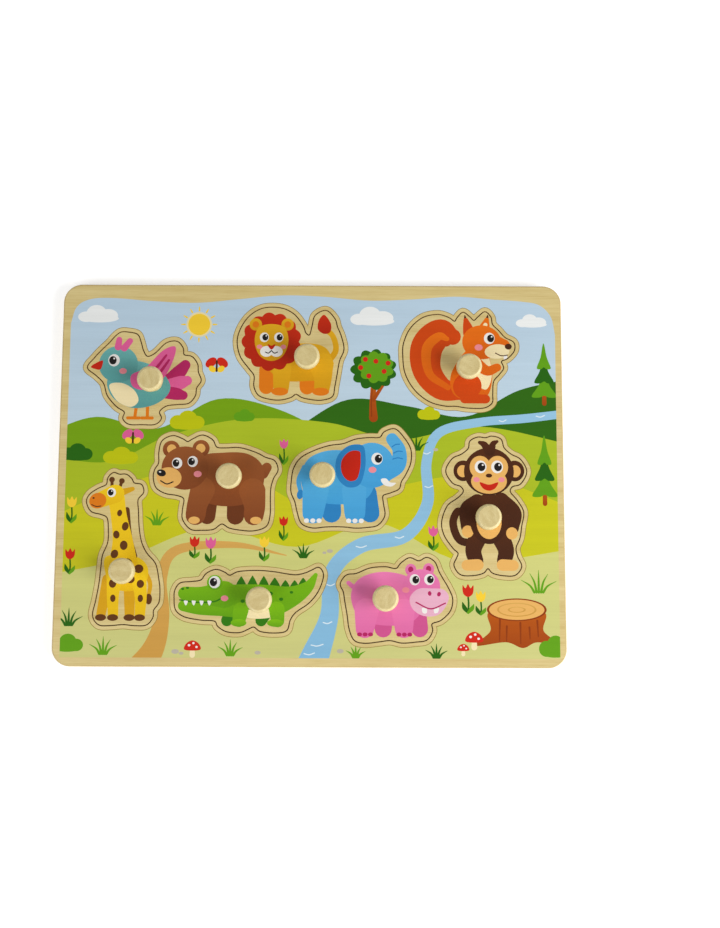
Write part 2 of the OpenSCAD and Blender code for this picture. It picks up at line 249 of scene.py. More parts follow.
def elephant_figure():
    """Elephant walking right with its trunk raised."""
    toes = [("white", oval(x, -27.3, 1.6, 1.4, count=20)) for x in (-27.5, -23.6, -19.7, -1.3, 2.6, 6.5)]
    return [
        ("elephant_shade", limb((-13, -10, 6.4), (-12, -22.5, 6.0))),
        ("elephant_shade", limb((10, -10, 6.0), (12, -22.5, 5.8))),
        ("elephant", limb((-29, 6, 1.7), (-32.5, -2, 1.5), (-31.5, -9, 1.3))),
        ("elephant_shade", oval(-31.6, -11.0, 2.0, 3.0, -10)),
        ("elephant", blob(
            (-31, 0), (-27, 11), (-15, 16.5), (0, 16), (12, 10),
            (15, -2), (10, -13), (-4, -17), (-20, -15.5), (-29, -9),
        )),
        ("elephant", limb((-22, -8, 8.2), (-23.5, -22.5, 6.6))),
        ("elephant", limb((2, -8, 7.6), (2.5, -22.5, 6.5))),
        ("elephant", oval(13, 7.5, 14, 14.2)),
        ("elephant", limb((21, 4, 7.0), (29, 8, 5.2), (30, 17, 4.2), (25.6, 24, 3.8))),
        ("elephant_shade", blob(
            (7, 20), (-2, 19.5), (-9, 12), (-9, 1), (-3, -6), (5, -5), (8.5, 4), (9, 13),
        )),
        ("scarlet", blob(
            (5.2, 16.2), (-1, 16), (-5.8, 10.5), (-5.8, 2.8),
            (-1.8, -2.2), (3.4, -1.4), (5.6, 5), (6, 11.5),
        )),
        ("white", blob((18.6, -1.4), (20.6, -4.8), (25.0, -5.8), (28.0, -3.6), (24.4, -3.2), (21.8, -0.8))),
        ("elephant_shade", stroke(26.0, 11.4, 32.2, 11.6, -0.7, 0.35)),
        ("elephant_shade", stroke(26.6, 15.2, 32.0, 16.2, -0.7, 0.35)),
        ("elephant_shade", stroke(25.6, 19.2, 30.2, 20.8, -0.6, 0.35)),
        *eye(16.2, 11.6, 3.5, 0.25),
        ("blush", oval(13.4, 4.6, 2.4, 1.9)),
        *toes,
    ]


def lion_figure():
    """Lion standing, its face turned to the front and its tail curled up."""
    return [
        ("lion", limb((24, -6, 2.2), (30, 2, 1.9), (28.5, 11, 1.8), (24, 16, 1.8))),
        ("mane", blob((26.5, 14.5), (26.8, 20), (22.6, 25.6), (19.2, 22), (18.6, 16.2), (22.6, 13.2))),
        ("lion_shade", limb((12, -10, 5.0), (12, -21.5, 4.8))),
        ("lion_shade", limb((-14, -10, 4.6), (-14, -21.5, 4.6))),
        ("lion", blob(
            (28, -5), (23, 4.5), (10, 7), (-8, 4), (-13, -8), (-4, -17), (12, -17.5), (24, -15.5),
        )),
        ("lion", limb((21, -7, 8.0), (22, -15, 5.8), (21.5, -21.8, 5.0))),
        ("lion", limb((-4, -8, 6.0), (-4.5, -21.8, 5.0))),
        ("lion_shade", oval(20.6, -24.4, 5.4, 2.6)),
        ("lion_shade", oval(-5.4, -24.4, 5.4, 2.6)),
        ("mane", scallop(-11, 8, 19.2, 13, 1.8)),
        ("lion", oval(-21.2, 19.2, 4.0, 4.0)),
        ("lion", oval(-0.8, 19.2, 4.0, 4.0)),
        ("lion_shade", oval(-21.2, 19.2, 2.1, 2.1)),
        ("lion_shade", oval(-0.8, 19.2, 2.1, 2.1)),
        ("lion", blob(
            (-11, 19.5), (-2.6, 17), (-0.2, 8), (-3.6, -1.2),
            (-11, -4.6), (-18.4, -1.2), (-21.8, 8), (-19.4, 17),
        )),
        ("white", oval(-14.2, 1.6, 4.0, 3.5)),
        ("white", oval(-7.8, 1.6, 4.0, 3.5)),
        ("scarlet", blob((-11, 5.4), (-8.6, 6.4), (-9.4, 4.2), (-11, 2.8), (-12.6, 4.2), (-13.4, 6.4))),
        ("black", stroke(-14.8, 1.2, -11, 2.2, 1.2, 0.33)),
        ("black", stroke(-11, 2.2, -7.2, 1.2, 1.2, 0.33)),
        *eye(-15.6, 10.8, 2.9, 0.2),
        *eye(-6.4, 10.8, 2.9, 0.2),
        ("blush", oval(-18.6, 4.6, 1.8, 1.4)),
        ("blush", oval(-3.4, 4.6, 1.8, 1.4)),
    ]


def squirrel_figure():
    """Squirrel sitting up with its tail behind it, looking right."""
    return [
        ("squirrel_shade", limb(
            (0, -19, 5.0), (-12, -17, 7.0), (-20.5, -6, 8.6),
            (-20.5, 8, 9.6), (-12.5, 17, 8.4), (-5, 14.5, 5.0),
        )),
        ("squirrel_shade", oval(-9.4, 10.6, 3.2, 2.2)),
        ("squirrel", limb(
            (-8, -16.5, 1.7), (-19, -8, 2.4), (-20.6, 7, 3.0), (-13.5, 14.6, 2.6), (-8.4, 13.2, 1.4),
        )),
        ("umber", limb((3.0, 23.6, 1.5), (2.4, 27.6, 0.3))),
        ("squirrel_shade", limb((5, 17, 3.8), (3.8, 21.4, 2.6), (3.0, 24.6, 1.5))),
        ("squirrel", blob(
            (3, 6), (11, 8.5), (17, 1), (18.5, -11), (15, -22), (4, -24.2), (-5, -20), (-6, -8),
        )),
        ("cream", blob((12.6, 6.5), (17.2, 0), (18.2, -10), (15, -17.5), (9.6, -14), (9, -3))),
        ("umber", limb((15.4, 23.8, 1.5), (16.2, 27.8, 0.3))),
        ("squirrel", limb((13, 17, 4.0), (14.6, 21.6, 2.8), (15.5, 24.8, 1.5))),
        ("cream", limb((13.6, 18, 1.9), (14.8, 22.0, 1.2))),
        ("squirrel", oval(12.5, 11.2, 11.8, 10.4, -6)),
        ("squirrel", limb((17, 10.4, 7.2), (25.0, 8.8, 4.6))),
        ("cream", oval(21.6, 5.6, 7.4, 4.4, 4)),
        ("white", blob((25.6, 2.6), (27.6, 2.9), (27.4, 0.6), (25.8, 0.4), per=6)),
        ("umber", stroke(20.6, 4.6, 27.8, 3.4, 1.0, 0.32)),
        ("umber", oval(28.4, 8.6, 2.1, 1.8)),
        ("squirrel_shade", oval(3.6, -15.6, 8.6, 8.0, 18)),
        ("squirrel_shade", limb((2, -23.2, 2.9), (14.5, -23.4, 2.7))),
        ("squirrel", limb((8.5, -1, 3.6), (15.5, -6.2, 3.0), (21.5, -4.2, 2.5))),
        *eye(17.0, 13.6, 3.2, 0.25),
        ("blush", oval(10.6, 8.0, 2.4, 1.9)),
    ]


def bird_figure():
    """Perched bird facing left with a raised wing."""
    return [
        ("lion_shade", limb((-3, -16, 1.1), (-4, -24.6, 1.0))),
        ("lion_shade", limb((4, -16, 1.1), (4, -24.6, 1.0))),
        ("lion_shade", limb((-8.6, -25.2, 1.0), (-1.2, -25.2, 1.0))),
        ("lion_shade", limb((0.4, -25.2, 1.0), (7.2, -25.2, 1.0))),
        ("rose", limb((14, -4, 4.2), (23, 4, 4.6), (27.6, 9.4, 3.4))),
        ("pink", limb((14, -5, 4.2), (24.5, -2.2, 4.4), (29.0, -0.8, 3.2))),
        ("rose", limb((12, -8, 4.0), (22, -9.4, 4.0), (26.6, -10.4, 3.0))),
        ("teal", blob(
            (18, -3), (10, 7), (-4, 12), (-17, 8), (-22.5, -2),
            (-18, -12.5), (-6, -18.6), (7, -17), (16, -11),
        )),
        ("teal", oval(-15.5, 9.8, 12.6, 12.0)),
        ("pink", limb((-12, 20.5, 2.3), (-8.4, 25.2, 1.9))),
        ("pink", limb((-16, 21.2, 2.3), (-15.4, 26.0, 1.9))),
        ("cream", blob((-21, -4), (-13, -2.5), (-5, -7), (-2, -14), (-7, -18), (-16, -13.8))),
        ("scarlet", blob((-25.6, 12.2), (-26.8, 6.6), (-30.4, 6.6), (-33.2, 8.0), (-30.6, 10.2), per=6)),
        ("pink", blob(
            (-7, 2.6), (2, 7.6), (13, 19), (21, 21.4), (19.5, 12), (13.5, 0.5), (3, -6.5), (-5.6, -5),
        )),
        ("rose", limb((-1, -0.8, 0.8), (8, 6.4, 1.0), (15.2, 15.8, 0.7))),
        ("rose", limb((3.4, -3.0, 0.8), (11, 4.2, 1.0), (17.0, 12.6, 0.7))),
        *eye(-18.4, 12.4, 3.7, -0.2),
        ("blush", oval(-12.4, 5.4, 2.4, 1.9)),
    ]


def monkey_figure():
    """Monkey standing to the front, its hands at its sides and its tail curled."""
    return [
        ("umber", limb(
            (-4, -22, 2.3), (-16, -21, 2.3), (-20.4, -11, 2.3), (-17.5, -3.5, 2.1), (-13.6, -7, 1.9),
        )),
        ("umber", limb((-4.5, -16, 5.6), (-8.5, -26, 4.8), (-7, -33, 4.3))),
        ("umber", limb((6, -16, 5.6), (10.5, -26, 4.8), (9.5, -33, 4.3))),
        ("tan", limb((-6, -35.2, 3.4), (-12.4, -35.4, 3.2))),
        ("tan", limb((8.4, -35.2, 3.4), (14.8, -35.4, 3.2))),
        ("umber", limb((8, 3, 4.6), (15.8, -4.4, 4.1), (14.6, -13.6, 3.7))),
        ("tan", oval(14.2, -16.6, 3.4, 3.6)),
        ("umber", limb((-6, 2, 4.6), (-12.4, -2.6, 4.1), (-12.2, -12.6, 3.7))),
        ("tan", oval(-11.8, -15.6, 3.4, 3.6)),
        ("umber", oval(0.8, -8, 11.4, 15.0)),
        ("tan", oval(0.8, -10, 7.4, 10.0)),
        ("umber", oval(-14.2, 20.4, 5.8, 6.2)),
        ("umber", oval(16.2, 20.4, 5.8, 6.2)),
        ("tan", oval(-14.6, 20.2, 3.2, 3.6)),
        ("tan", oval(16.6, 20.2, 3.2, 3.6)),
        ("umber", oval(1, 20, 14.8, 14.2)),
        ("umber", limb((1, 32, 2.6), (-1.6, 36, 2.0), (-4.4, 37.4, 1.0))),
        ("umber", limb((2.4, 32, 2.4), (3.6, 36.4, 1.8), (6, 38, 0.9))),
        ("tan", oval(-4.2, 22.6, 6.2, 6.8)),
        ("tan", oval(6.2, 22.6, 6.2, 6.8)),
        ("tan", oval(1, 14.2, 10.6, 7.4)),
        *eye(-3.9, 22.8, 3.5, 0.15),
        *eye(5.9, 22.8, 3.5, 0.15),
        ("umber", oval(1, 17.6, 1.9, 1.2, count=24)),
        ("scarlet", blob((-4.4, 13.6), (1, 12.2), (6.4, 13.6), (4.6, 10), (1, 8.6), (-2.6, 10))),
        ("blush", oval(-6.4, 15.2, 1.9, 1.5)),
        ("blush", oval(8.4, 15.2, 1.9, 1.5)),
    ]


def giraffe_figure():
    """Giraffe standing, its head turned left."""
    hooves = [("spot", oval(x, -40.4, 3.3, 2.0)) for x in (12.6, 6.4, -3.4, -10.6)]
    patches = [
        (2.6, 14, 2.0, 2.6, -12), (-2.6, 9, 1.9, 2.4, 10), (2, 2.6, 2.3, 2.8, 0),
        (-3.4, -2.6, 2.2, 2.6, -20), (4.4, -8.4, 3.0, 3.2, 0), (-2.2, -12.2, 2.8, 3.2, -15),
        (11.4, -11.4, 2.8, 2.6, 0), (6.4, -17.4, 2.8, 2.6, -30), (12.6, -20.4, 2.2, 2.4, 0),
        (-4, -20.2, 2.2, 2.6, 0), (-1.0, 22, 1.5, 2.0, -10), (12.8, -29, 1.6, 2.2, 0),
        (-3.6, -29, 1.6, 2.2, 0),
    ]
    return [
        ("giraffe_shade", limb((15, -13, 1.5), (18.4, -20, 1.3), (17.8, -27, 1.2))),
        ("spot", oval(17.8, -29.4, 2.0, 3.2)),
        ("giraffe_shade", limb((6, -18, 3.6), (6.6, -38.6, 2.9))),
        ("giraffe_shade", limb((-7, -18, 3.4), (-10.4, -38.6, 2.8))),
        ("giraffe", blob((-8, -4), (-8.5, -14), (-4, -23), (8, -24.5), (16, -19), (16.5, -10), (9, -4))),
        ("giraffe", limb((11.6, -17, 4.6), (13, -28, 3.6), (12.8, -38.6, 3.1))),
        ("giraffe", limb((-3, -17, 4.6), (-3.6, -28, 3.6), (-3.2, -38.6, 3.1))),
        *hooves,
        ("spot", limb((8.6, -4, 1.7), (5.2, 8, 1.7), (3.4, 24, 1.6))),
        ("giraffe", limb((2, -8, 8.6), (1.2, 6, 6.0), (-1.4, 20, 4.8), (-3.2, 31, 5.0))),
        ("spot", limb((-1.8, 36, 0.95), (-0.4, 40.6, 0.95))),
        ("spot", oval(-0.2, 41.4, 1.7, 1.7)),
        ("spot", limb((-6, 37, 0.95), (-6.2, 41.4, 0.95))),
        ("spot", oval(-6.2, 42.2, 1.7, 1.7)),
        ("giraffe_shade", limb((0, 34.5, 2.2), (6.4, 36.6, 1.3))),
        ("giraffe", limb((-4, 33.6, 5.6), (-12, 30.2, 4.8))),
        ("muzzle_orange", oval(-14.4, 29.4, 5.2, 4.7, 18)),
        ("umber", oval(-17.0, 31.0, 0.7, 0.55, count=16)),
        ("umber", stroke(-18.0, 27.0, -12.4, 26.2, 0.7, 0.3)),
        *[("spot", oval(*patch)) for patch in patches],
        *eye(-6.2, 34.4, 2.6, -0.2),
    ]


def crocodile_figure():
    """Crocodile lying along the ground, facing left."""
    ridge = [
        blob((x - 3.2, 6.6), (x - 0.6, 11.4 + h), (x + 0.6, 11.4 + h), (x + 3.2, 6.6), (x, 5), per=6)
        for x, h in ((-4, 0.6), (2.6, 1.0), (9.2, 0.8), (15.6, 0.0))
    ]
    tail_ridge = [
        blob(
            (x - 2.6, y - 1.5), (x - 0.2, y + 2.6), (x + 0.9, y + 2.4), (x + 2.6, y - 0.7), (x, y - 2), per=6,
        )
        for x, y in ((21.6, 7.6), (27.0, 7.6), (32, 9.0))
    ]
    teeth = [
        ("white", blob((x - 1.2, -1.9), (x, -4.4), (x + 1.2, -2.1), (x, -1.6), per=6))
        for x in (-36.2, -31.6, -27.0, -22.4)
    ]
    scales = [
        ("crocodile_shade", oval(x, y, rx, ry, count=24))
        for x, y, rx, ry in (
            (3, 2.4, 1.6, 1.3), (8, -1.4, 1.3, 1.1), (13.2, 2.6, 1.5, 1.2),
            (-3, -1.8, 1.2, 1.0), (19.5, -0.6, 1.2, 1.0), (25.5, 3.4, 1.0, 0.8),
        )
    ]
    return [
        ("crocodile_shade", limb((-9, -8, 3.8), (-12, -13.0, 3.4))),
        ("crocodile_shade", limb((10, -9, 4.0), (8, -13, 3.4))),
        *[("crocodile_shade", spike) for spike in ridge + tail_ridge],
        ("crocodile", limb(
            (-16, -1.5, 9.0), (0, -1.8, 9.8), (14, -1.6, 9.2),
            (26, 1.2, 6.0), (35, 6.6, 3.4), (39.6, 13.6, 1.2),
        )),
        ("cream", blob(
            (-6, -10.0), (4, -11.9), (13, -11.3), (18, -9.0), (14, -6.6), (4, -6.8), (-4, -7.0),
        )),
        ("crocodile", limb((-4, -7, 4.6), (-5, -13, 3.8))),
        ("crocodile", limb((17, -6.5, 4.6), (17.6, -13, 3.9))),
        ("crocodile", oval(-5.2, -14.4, 4.6, 2.2)),
        ("crocodile", oval(16.2, -14.4, 4.8, 2.2)),
        ("crocodile", limb((-14, -4.6, 6.0), (-28, -5.4, 4.4), (-37.6, -4.6, 3.2))),
        ("crocodile", limb((-14, 2, 8.0), (-27, 1.6, 5.0), (-37, 2.6, 3.9))),
        ("crocodile", oval(-19.5, 9.0, 4.6, 4.4)),
        ("crocodile_shade", limb(
            (-39.8, -1.2, 0.42), (-30, -2.6, 0.42), (-20, -2.2, 0.42), (-15.4, -0.2, 0.42),
        )),
        *teeth,
        ("crocodile_shade", oval(-38.2, 5.2, 0.9, 0.7, count=16)),
        ("crocodile_shade", oval(-35.4, 5.8, 0.9, 0.7, count=16)),
        *eye(-19.6, 9.2, 3.3, -0.2),
        ("blush", oval(-13.6, -0.2, 2.2, 1.7)),
        *scales,
    ]


def hippo_figure():
    """Hippo standing, its muzzle turned right."""
    toes = [("rose", oval(x, -20.4, 1.5, 1.2, count=20)) for x in (-24.2, -20.9, -17.6, -0.6, 2.7, 6.0)]
    return [
        ("hippo_shade", limb((-10, -8, 5.4), (-10, -17, 5.2))),
        ("hippo_shade", limb((11, -8, 5.0), (12, -17, 5.0))),
        ("hippo", limb((-27, 7, 1.5), (-31, 10.4, 1.3))),
        ("hippo", blob(
            (-29.5, 2), (-25, 12.5), (-12, 17), (3, 15), (12, 8),
            (14, -4), (6, -13.5), (-10, -15), (-24, -11),
        )),
        ("hippo", limb((-20, -6, 7.4), (-21, -17, 5.6))),
        ("hippo", limb((2, -6, 7.0), (2.5, -17, 5.5))),
        ("hippo", oval(6.6, 18.4, 3.4, 3.6)),
        ("hippo", oval(17.4, 18.8, 3.4, 3.6)),
        ("rose", oval(6.6, 18.6, 1.6, 1.8)),
        ("rose", oval(17.4, 19.0, 1.6, 1.8)),
        ("hippo", oval(13.0, 8.2, 11.4, 10.6)),
        ("muzzle", blob(
            (29.5, 1.0), (26.6, 6.4), (19, 7.2), (11, 6.8),
            (6.0, 1.4), (8.0, -5.4), (15, -9.4), (24, -8.0),
        )),
        ("rose", oval(23.6, 3.8, 1.1, 1.4, -20)),
        ("rose", oval(18.0, 4.2, 1.1, 1.4, 10)),
        ("white", blob((13.4, -4.5), (16.2, -5.0), (16.0, -7.6), (13.8, -7.4), per=6)),
        ("white", blob((20.6, -5.0), (23.4, -4.3), (23.0, -7.0), (20.9, -7.6), per=6)),
        ("rose", stroke(9.8, -1.2, 27.4, -1.6, 3.6, 0.42)),
        *eye(9.0, 12.4, 3.1, 0.2),
        *eye(17.8, 12.6, 3.1, 0.2),
        ("blush", oval(3.6, 6.2, 2.2, 1.7)),
        *toes,
    ]


FIGURES = {
    "bird": bird_figure,
    "lion": lion_figure,
    "squirrel": squirrel_figure,
    "bear": bear_figure,
    "elephant": elephant_figure,
    "monkey": monkey_figure,
    "giraffe": giraffe_figure,
    "crocodile": crocodile_figure,
    "hippo": hippo_figure,
}


# The board's picture: a meadow with hills, a stream, trees and small plants, in the board's millimetres


def field(ink, *crest, foot=-130.0):
    """Ground below a crest: a spline along the crest, closed by a straight foot below the board."""
    top = spline(crest)
    return [(ink, np.concatenate([top, [[crest[-1][0], foot], [crest[0][0], foot]]]))]


def cloud(x, y, w):
    """Four overlapping ovals on one foot."""
    puffs = (
        (-0.32, 0.0, 0.2, 0.13), (-0.08, 0.09, 0.24, 0.2),
        (0.2, 0.03, 0.24, 0.16), (0.0, -0.04, 0.46, 0.1),
    )
    return [("cloud", oval(x + w * a, y + w * b, w * c, w * d)) for a, b, c, d in puffs]


def sun(x, y, r):
    """Disc in a pale ring, with twelve rays."""
    turns = np.radians(np.arange(0, 360, 30))
    rays = [
        ("sun", limb((x + 1.3 * r * c, y + 1.3 * r * s, 0.55), (x + 1.62 * r * c, y + 1.62 * r * s, 0.3)))
        for c, s in zip(np.cos(turns), np.sin(turns))
    ]
    return [("glow", oval(x, y, 1.16 * r, 1.16 * r)), ("sun", oval(x, y, r, r)), *rays]


def bush(x, y, w, h, ink="bush"):
    """Three round heads on a low mound."""
    heads = (
        (-0.28, 0.3, 0.24, 0.42), (0.02, 0.48, 0.28, 0.52),
        (0.3, 0.28, 0.22, 0.4), (0.0, 0.14, 0.5, 0.3),
    )
    return [(ink, oval(x + w * a, y + h * b, w * c, h * d)) for a, b, c, d in heads]


def apple_tree(x, y, h, r):
    """Forked trunk, two scalloped crowns and six apples."""
    fruit = ((-0.55, 0.1), (-0.2, -0.35), (0.1, 0.45), (0.45, -0.1), (0.62, 0.35), (-0.35, 0.55))
    return [
        ("bark", limb((x, y - 1, 2.6), (x - 0.4, y + 0.4 * h, 1.9), (x + 0.2, y + h, 1.6))),
        ("bark", limb((x, y + 0.45 * h, 1.2), (x + 0.35 * r, y + 0.8 * h, 1.0), (x + 0.6 * r, y + h, 0.8))),
        ("bark_shade", limb((x - 1.1, y, 0.4), (x - 1.3, y + 0.4 * h, 0.35), (x - 0.6, y + 0.8 * h, 0.2))),
        ("deep_leaf", scallop(x, y + h + 0.45 * r, r, 11, 0.16 * r, 0.9)),
        ("leaf", scallop(x + 0.1 * r, y + h + 0.55 * r, 0.78 * r, 9, 0.13 * r, 0.9)),
        *[("apple", oval(x + r * a, y + h + 0.45 * r + 0.8 * r * b, 1.5, 1.5, count=24)) for a, b in fruit],
    ]


def fir(x, y, h, w):
    """Short trunk under three tiers of drooping boughs, each narrower than the one below."""
    edge = (
        (0.0, 0.42), (-0.45, 0.18), (-1.0, 0.0), (-0.4, -0.02),
        (0.0, 0.012), (0.4, -0.02), (1.0, 0.0), (0.45, 0.18),
    )
    tiers = []
    for k, ink in enumerate(("leaf", "deep_leaf", "leaf")):
        foot, half = y + h * (0.12 + 0.24 * k), w * (0.5 - 0.11 * k)
        tiers.append((ink, blob(*[(x + half * a, foot + h * b) for a, b in edge], per=6)))
    return [("bark", limb((x, y, 0.09 * w), (x, y + 0.2 * h, 0.08 * w))), *tiers]


def tulip(x, y, h, ink, s):
    """Stem with two leaves, and a cup with three points."""
    top = y + h
    cup = ((0, -0.6), (1.9, 0.8), (2.1, 4.0), (1.0, 2.8), (0, 4.4), (-1.0, 2.8), (-2.1, 4.0), (-1.9, 0.8))
    left = limb((x, y, 0.5 * s), (x - 1.5 * s, y + 0.3 * h, 0.85 * s), (x - 2.2 * s, y + 0.62 * h, 0.15))
    right = limb((x, y, 0.5 * s), (x + 1.5 * s, y + 0.25 * h, 0.8 * s), (x + 2.3 * s, y + 0.5 * h, 0.15))
    return [
        ("deep_leaf", limb((x, y, 0.4 * s), (x + 0.3, y + 0.5 * h, 0.36 * s), (x, top, 0.34 * s))),
        ("deep_leaf", left),
        ("leaf", right),
        (ink, blob(*[(x + s * a, top + s * b) for a, b in cup], per=5)),
    ]


def toadstool(x, y, s):
    """Stalk and a domed cap with three spots."""
    dome = ((-3.4, 2.3), (-2.6, 4.7), (0, 6.0), (2.6, 4.7), (3.4, 2.3), (0, 1.8))
    spots = ((-1.4, 4.0, 0.55), (0.4, 4.9, 0.5), (1.7, 3.3, 0.5))
    return [
        ("cream", limb((x, y, 1.15 * s), (x, y + 2.8 * s, 0.9 * s))),
        ("apple", blob(*[(x + s * a, y + s * b) for a, b in dome])),
        *[("white", oval(x + s * a, y + s * b, s * r, 0.9 * s * r, count=18)) for a, b, r in spots],
    ]


def blade(x, y, lean, rise):
    """Blade of grass that leans to one side and thins to its tip."""
    root, bend, tip = (0.25 * lean, 0.0, 0.75), (0.5 * lean, 0.55 * rise, 0.55), (lean, rise, 0.1)
    return limb(*[(x + a, y + b, half) for a, b, half in (root, bend, tip)])


def tuft(x, y, h, ink="leaf"):
    """Five blades of grass that fan out from one root."""
    fan = ((-0.8, 0.55), (-0.4, 0.85), (0.0, 1.0), (0.42, 0.82), (0.8, 0.5))
    return [(ink, blade(x, y, lean * h, rise * h)) for lean, rise in fan]


def stump(x, y, w):
    """Cut trunk with spread roots, bark cracks and two growth rings on its top."""
    body = (
        (-0.5, 0.52), (-0.47, 0.2), (-0.74, -0.06), (-0.2, 0.0), (0.1, -0.1),
        (0.35, 0.0), (0.76, -0.04), (0.47, 0.2), (0.5, 0.52), (0, 0.62),
    )
    cracks = (
        (-0.3, 0.4, 0.02), (-0.18, 0.28, 0.02), (0.06, 0.34, -0.02), (0.22, 0.26, 0.06), (0.36, 0.38, 0.1),
    )
    rings = (
        ("bark_shade", 0.53, 0.2), ("tan", 0.49, 0.178), ("path", 0.35, 0.122),
        ("tan", 0.315, 0.106), ("path", 0.16, 0.052), ("tan", 0.125, 0.04),
    )
    return [
        ("bark", blob(*[(x + w * a, y + w * b) for a, b in body])),
        *[
            ("bark_shade", limb((x + w * a, y + w * b, 0.018 * w), (x + w * a * 1.04, y + w * c, 0.01 * w)))
            for a, b, c in cracks
        ],
        *[(ink, oval(x, y + 0.57 * w, w * a, w * b)) for ink, a, b in rings],
    ]


def butterfly(x, y, s, ink):
    """Two pairs of oval wings on a slim body."""
    return [
        (ink, oval(x - 1.7 * s, y + 1.1 * s, 1.9 * s, 1.3 * s, 40)),
        (ink, oval(x + 1.7 * s, y + 1.1 * s, 1.9 * s, 1.3 * s, -40)),
        ("sun", oval(x - 1.3 * s, y - 0.9 * s, 1.2 * s, 0.9 * s, -35)),
        ("sun", oval(x + 1.3 * s, y - 0.9 * s, 1.2 * s, 0.9 * s, 35)),
        ("umber", limb((x, y - 1.5 * s, 0.3 * s), (x, y + 1.5 * s, 0.3 * s))),
    ]


def board_picture():
    """The whole picture, from the sky to the small plants of the foreground."""
    ground = [
        *sun(-68.0, 89.5, 6.6),
        *cloud(-128.0, 94.0, 25.0),
        *cloud(37.0, 93.0, 27.0),
        *cloud(132.5, 91.0, 19.0),
        *field("far_hill", (-10, 26), (22, 44), (58, 40), (92, 34), (124, 50), (160, 58)),
        *field("wood_hill", (-160, 22), (-128, 33), (-92, 26), (-56, 44), (-20, 38), (16, 20)),
        *field("lime", (-160, 10), (-120, 6), (-84, 22), (-40, 32), (10, 30), (52, 20), (100, 28), (160, 16)),
        *field("meadow", (-160, -30), (-100, -4), (-50, 4), (0, -20), (50, -8), (100, -2), (160, -22)),
        *field("lawn", (-160, -62), (-112, -52), (-60, -33), (-8, -44), (40, -30), (90, -52), (160, -44)),
        ("path", limb(
            (-104, -122, 9), (-91, -104, 6.4), (-86, -84, 4.2), (-87, -62, 3.4),
            (-78, -46, 2.8), (-44, -43, 1.8), (-14, -49, 0.3),
        )),
        ("stream", limb(
            (160, 37, 2.4), (128, 33, 2.6), (100, 30.5, 2.6), (76, 24, 2.8),
            (68.5, 6, 3.0), (69, -18, 3.4), (56, -37, 4.0), (30, -43, 4.4),
            (13.5, -58, 4.6), (11.5, -84, 5.4), (4, -106, 8.0), (-4, -126, 10.0),
        )),
    ]
    ripples = [
        ("ripple", stroke(x, y, x + w, y + 0.4, 0.8, 0.3))
        for x, y, w in (
            (134, 34.4, 5), (112, 31.6, 4), (66.8, 12, 4), (67.6, -8, 4.4), (50, -38, 5),
            (27, -43.6, 6), (10, -66, 4.4), (8, -88, 5), (1, -101, 7), (-3, -106, 6),
        )
    ]
    trees = [
        *apple_tree(37.0, 34.0, 22.0, 14.0),
        *fir(139.0, 42.0, 36.0, 15.0),
        *fir(138.5, -18.0, 40.0, 15.0),
        *bush(-139.0, 8.0, 18.0, 9.0, "deep_leaf"),
        *bush(-113.0, 6.0, 20.0, 9.0),
        *bush(-74.0, 27.0, 20.0, 10.0),
        *bush(-40.0, 31.5, 12.0, 6.5, "leaf"),
        *bush(70.0, 33.0, 13.0, 7.0),
        *stump(121.0, -99.0, 33.0),
        *bush(143.0, -106.0, 18.0, 11.0, "leaf"),
        *bush(-141.0, -104.0, 18.0, 9.0, "leaf"),
    ]
    plants = [
        *tulip(-68.0, -50.5, 7.0, "apple", 1.3),
        *tulip(-58.5, -53.4, 9.0, "pink", 1.4),
        *tulip(-27.0, -52.0, 8.4, "sun", 1.3),
        *tulip(-15.8, -40.0, 9.0, "apple", 1.15),
        *tulip(-16.2, 5.0, 10.0, "pink", 1.15),
        *tulip(72.4, -45.4, 8.6, "pink", 1.3),
        *tulip(92.6, -82.0, 10.0, "apple", 1.5),
        *tulip(100.0, -83.0, 8.0, "sun", 1.3),
        *tulip(-141.0, -30.0, 9.6, "sun", 1.3),
        *tulip(-141.0, -60.0, 9.0, "apple", 1.3),
        *toadstool(96.0, -102.0, 1.5),
        *toadstool(89.6, -106.0, 1.0),
        *toadstool(-68.0, -107.0, 1.4),
        *butterfly(-106.0, 20.5, 1.9, "pink"),
        *butterfly(-57.0, 64.0, 2.0, "apple"),
        *tuft(-120.0, -106.5, 10.0),
        *tuft(-46.0, -107.0, 9.0),
        *tuft(27.0, -108.0, 7.0),
        *tuft(74.0, -108.0, 8.0, "deep_leaf"),
        *tuft(134.0, -70.0, 13.0),
        *tuft(-4.0, -50.0, 8.0, "deep_leaf"),
        *tuft(-90.5, -31.0, 9.0),
        *tuft(62.5, 14.0, 9.0, "deep_leaf"),
        *tuft(-140.5, -90.0, 10.0, "deep_leaf"),
    ]
    stones = [
        ("stone", oval(x, y, w, 0.62 * w, count=28))
        for x, y, w in (
            (-78, -105, 2.2), (-74.5, -106, 1.4), (11.6, -46.4, 1.8), (8.4, -47.4, 1.2),
            (18, -104.5, 2.0), (-30, -105.5, 1.8), (74, 14, 1.5),
        )
    ]
    return ground + ripples + trees + plants + stones


# Plywood: plates with eased edges, their faces cut along the print

# Steps of an eased edge and of a board corner, and the pieces that each edge of a CAD outline is cut into
EASE_STEPS = 5
CORNER_STEPS = 20
OUTLINE_FINER = 2

# Points nearer than this, in millimetres, are one point, and CAD points are rounded to so many decimals
LEAST_GAP = 1e-5
PLACES = 3


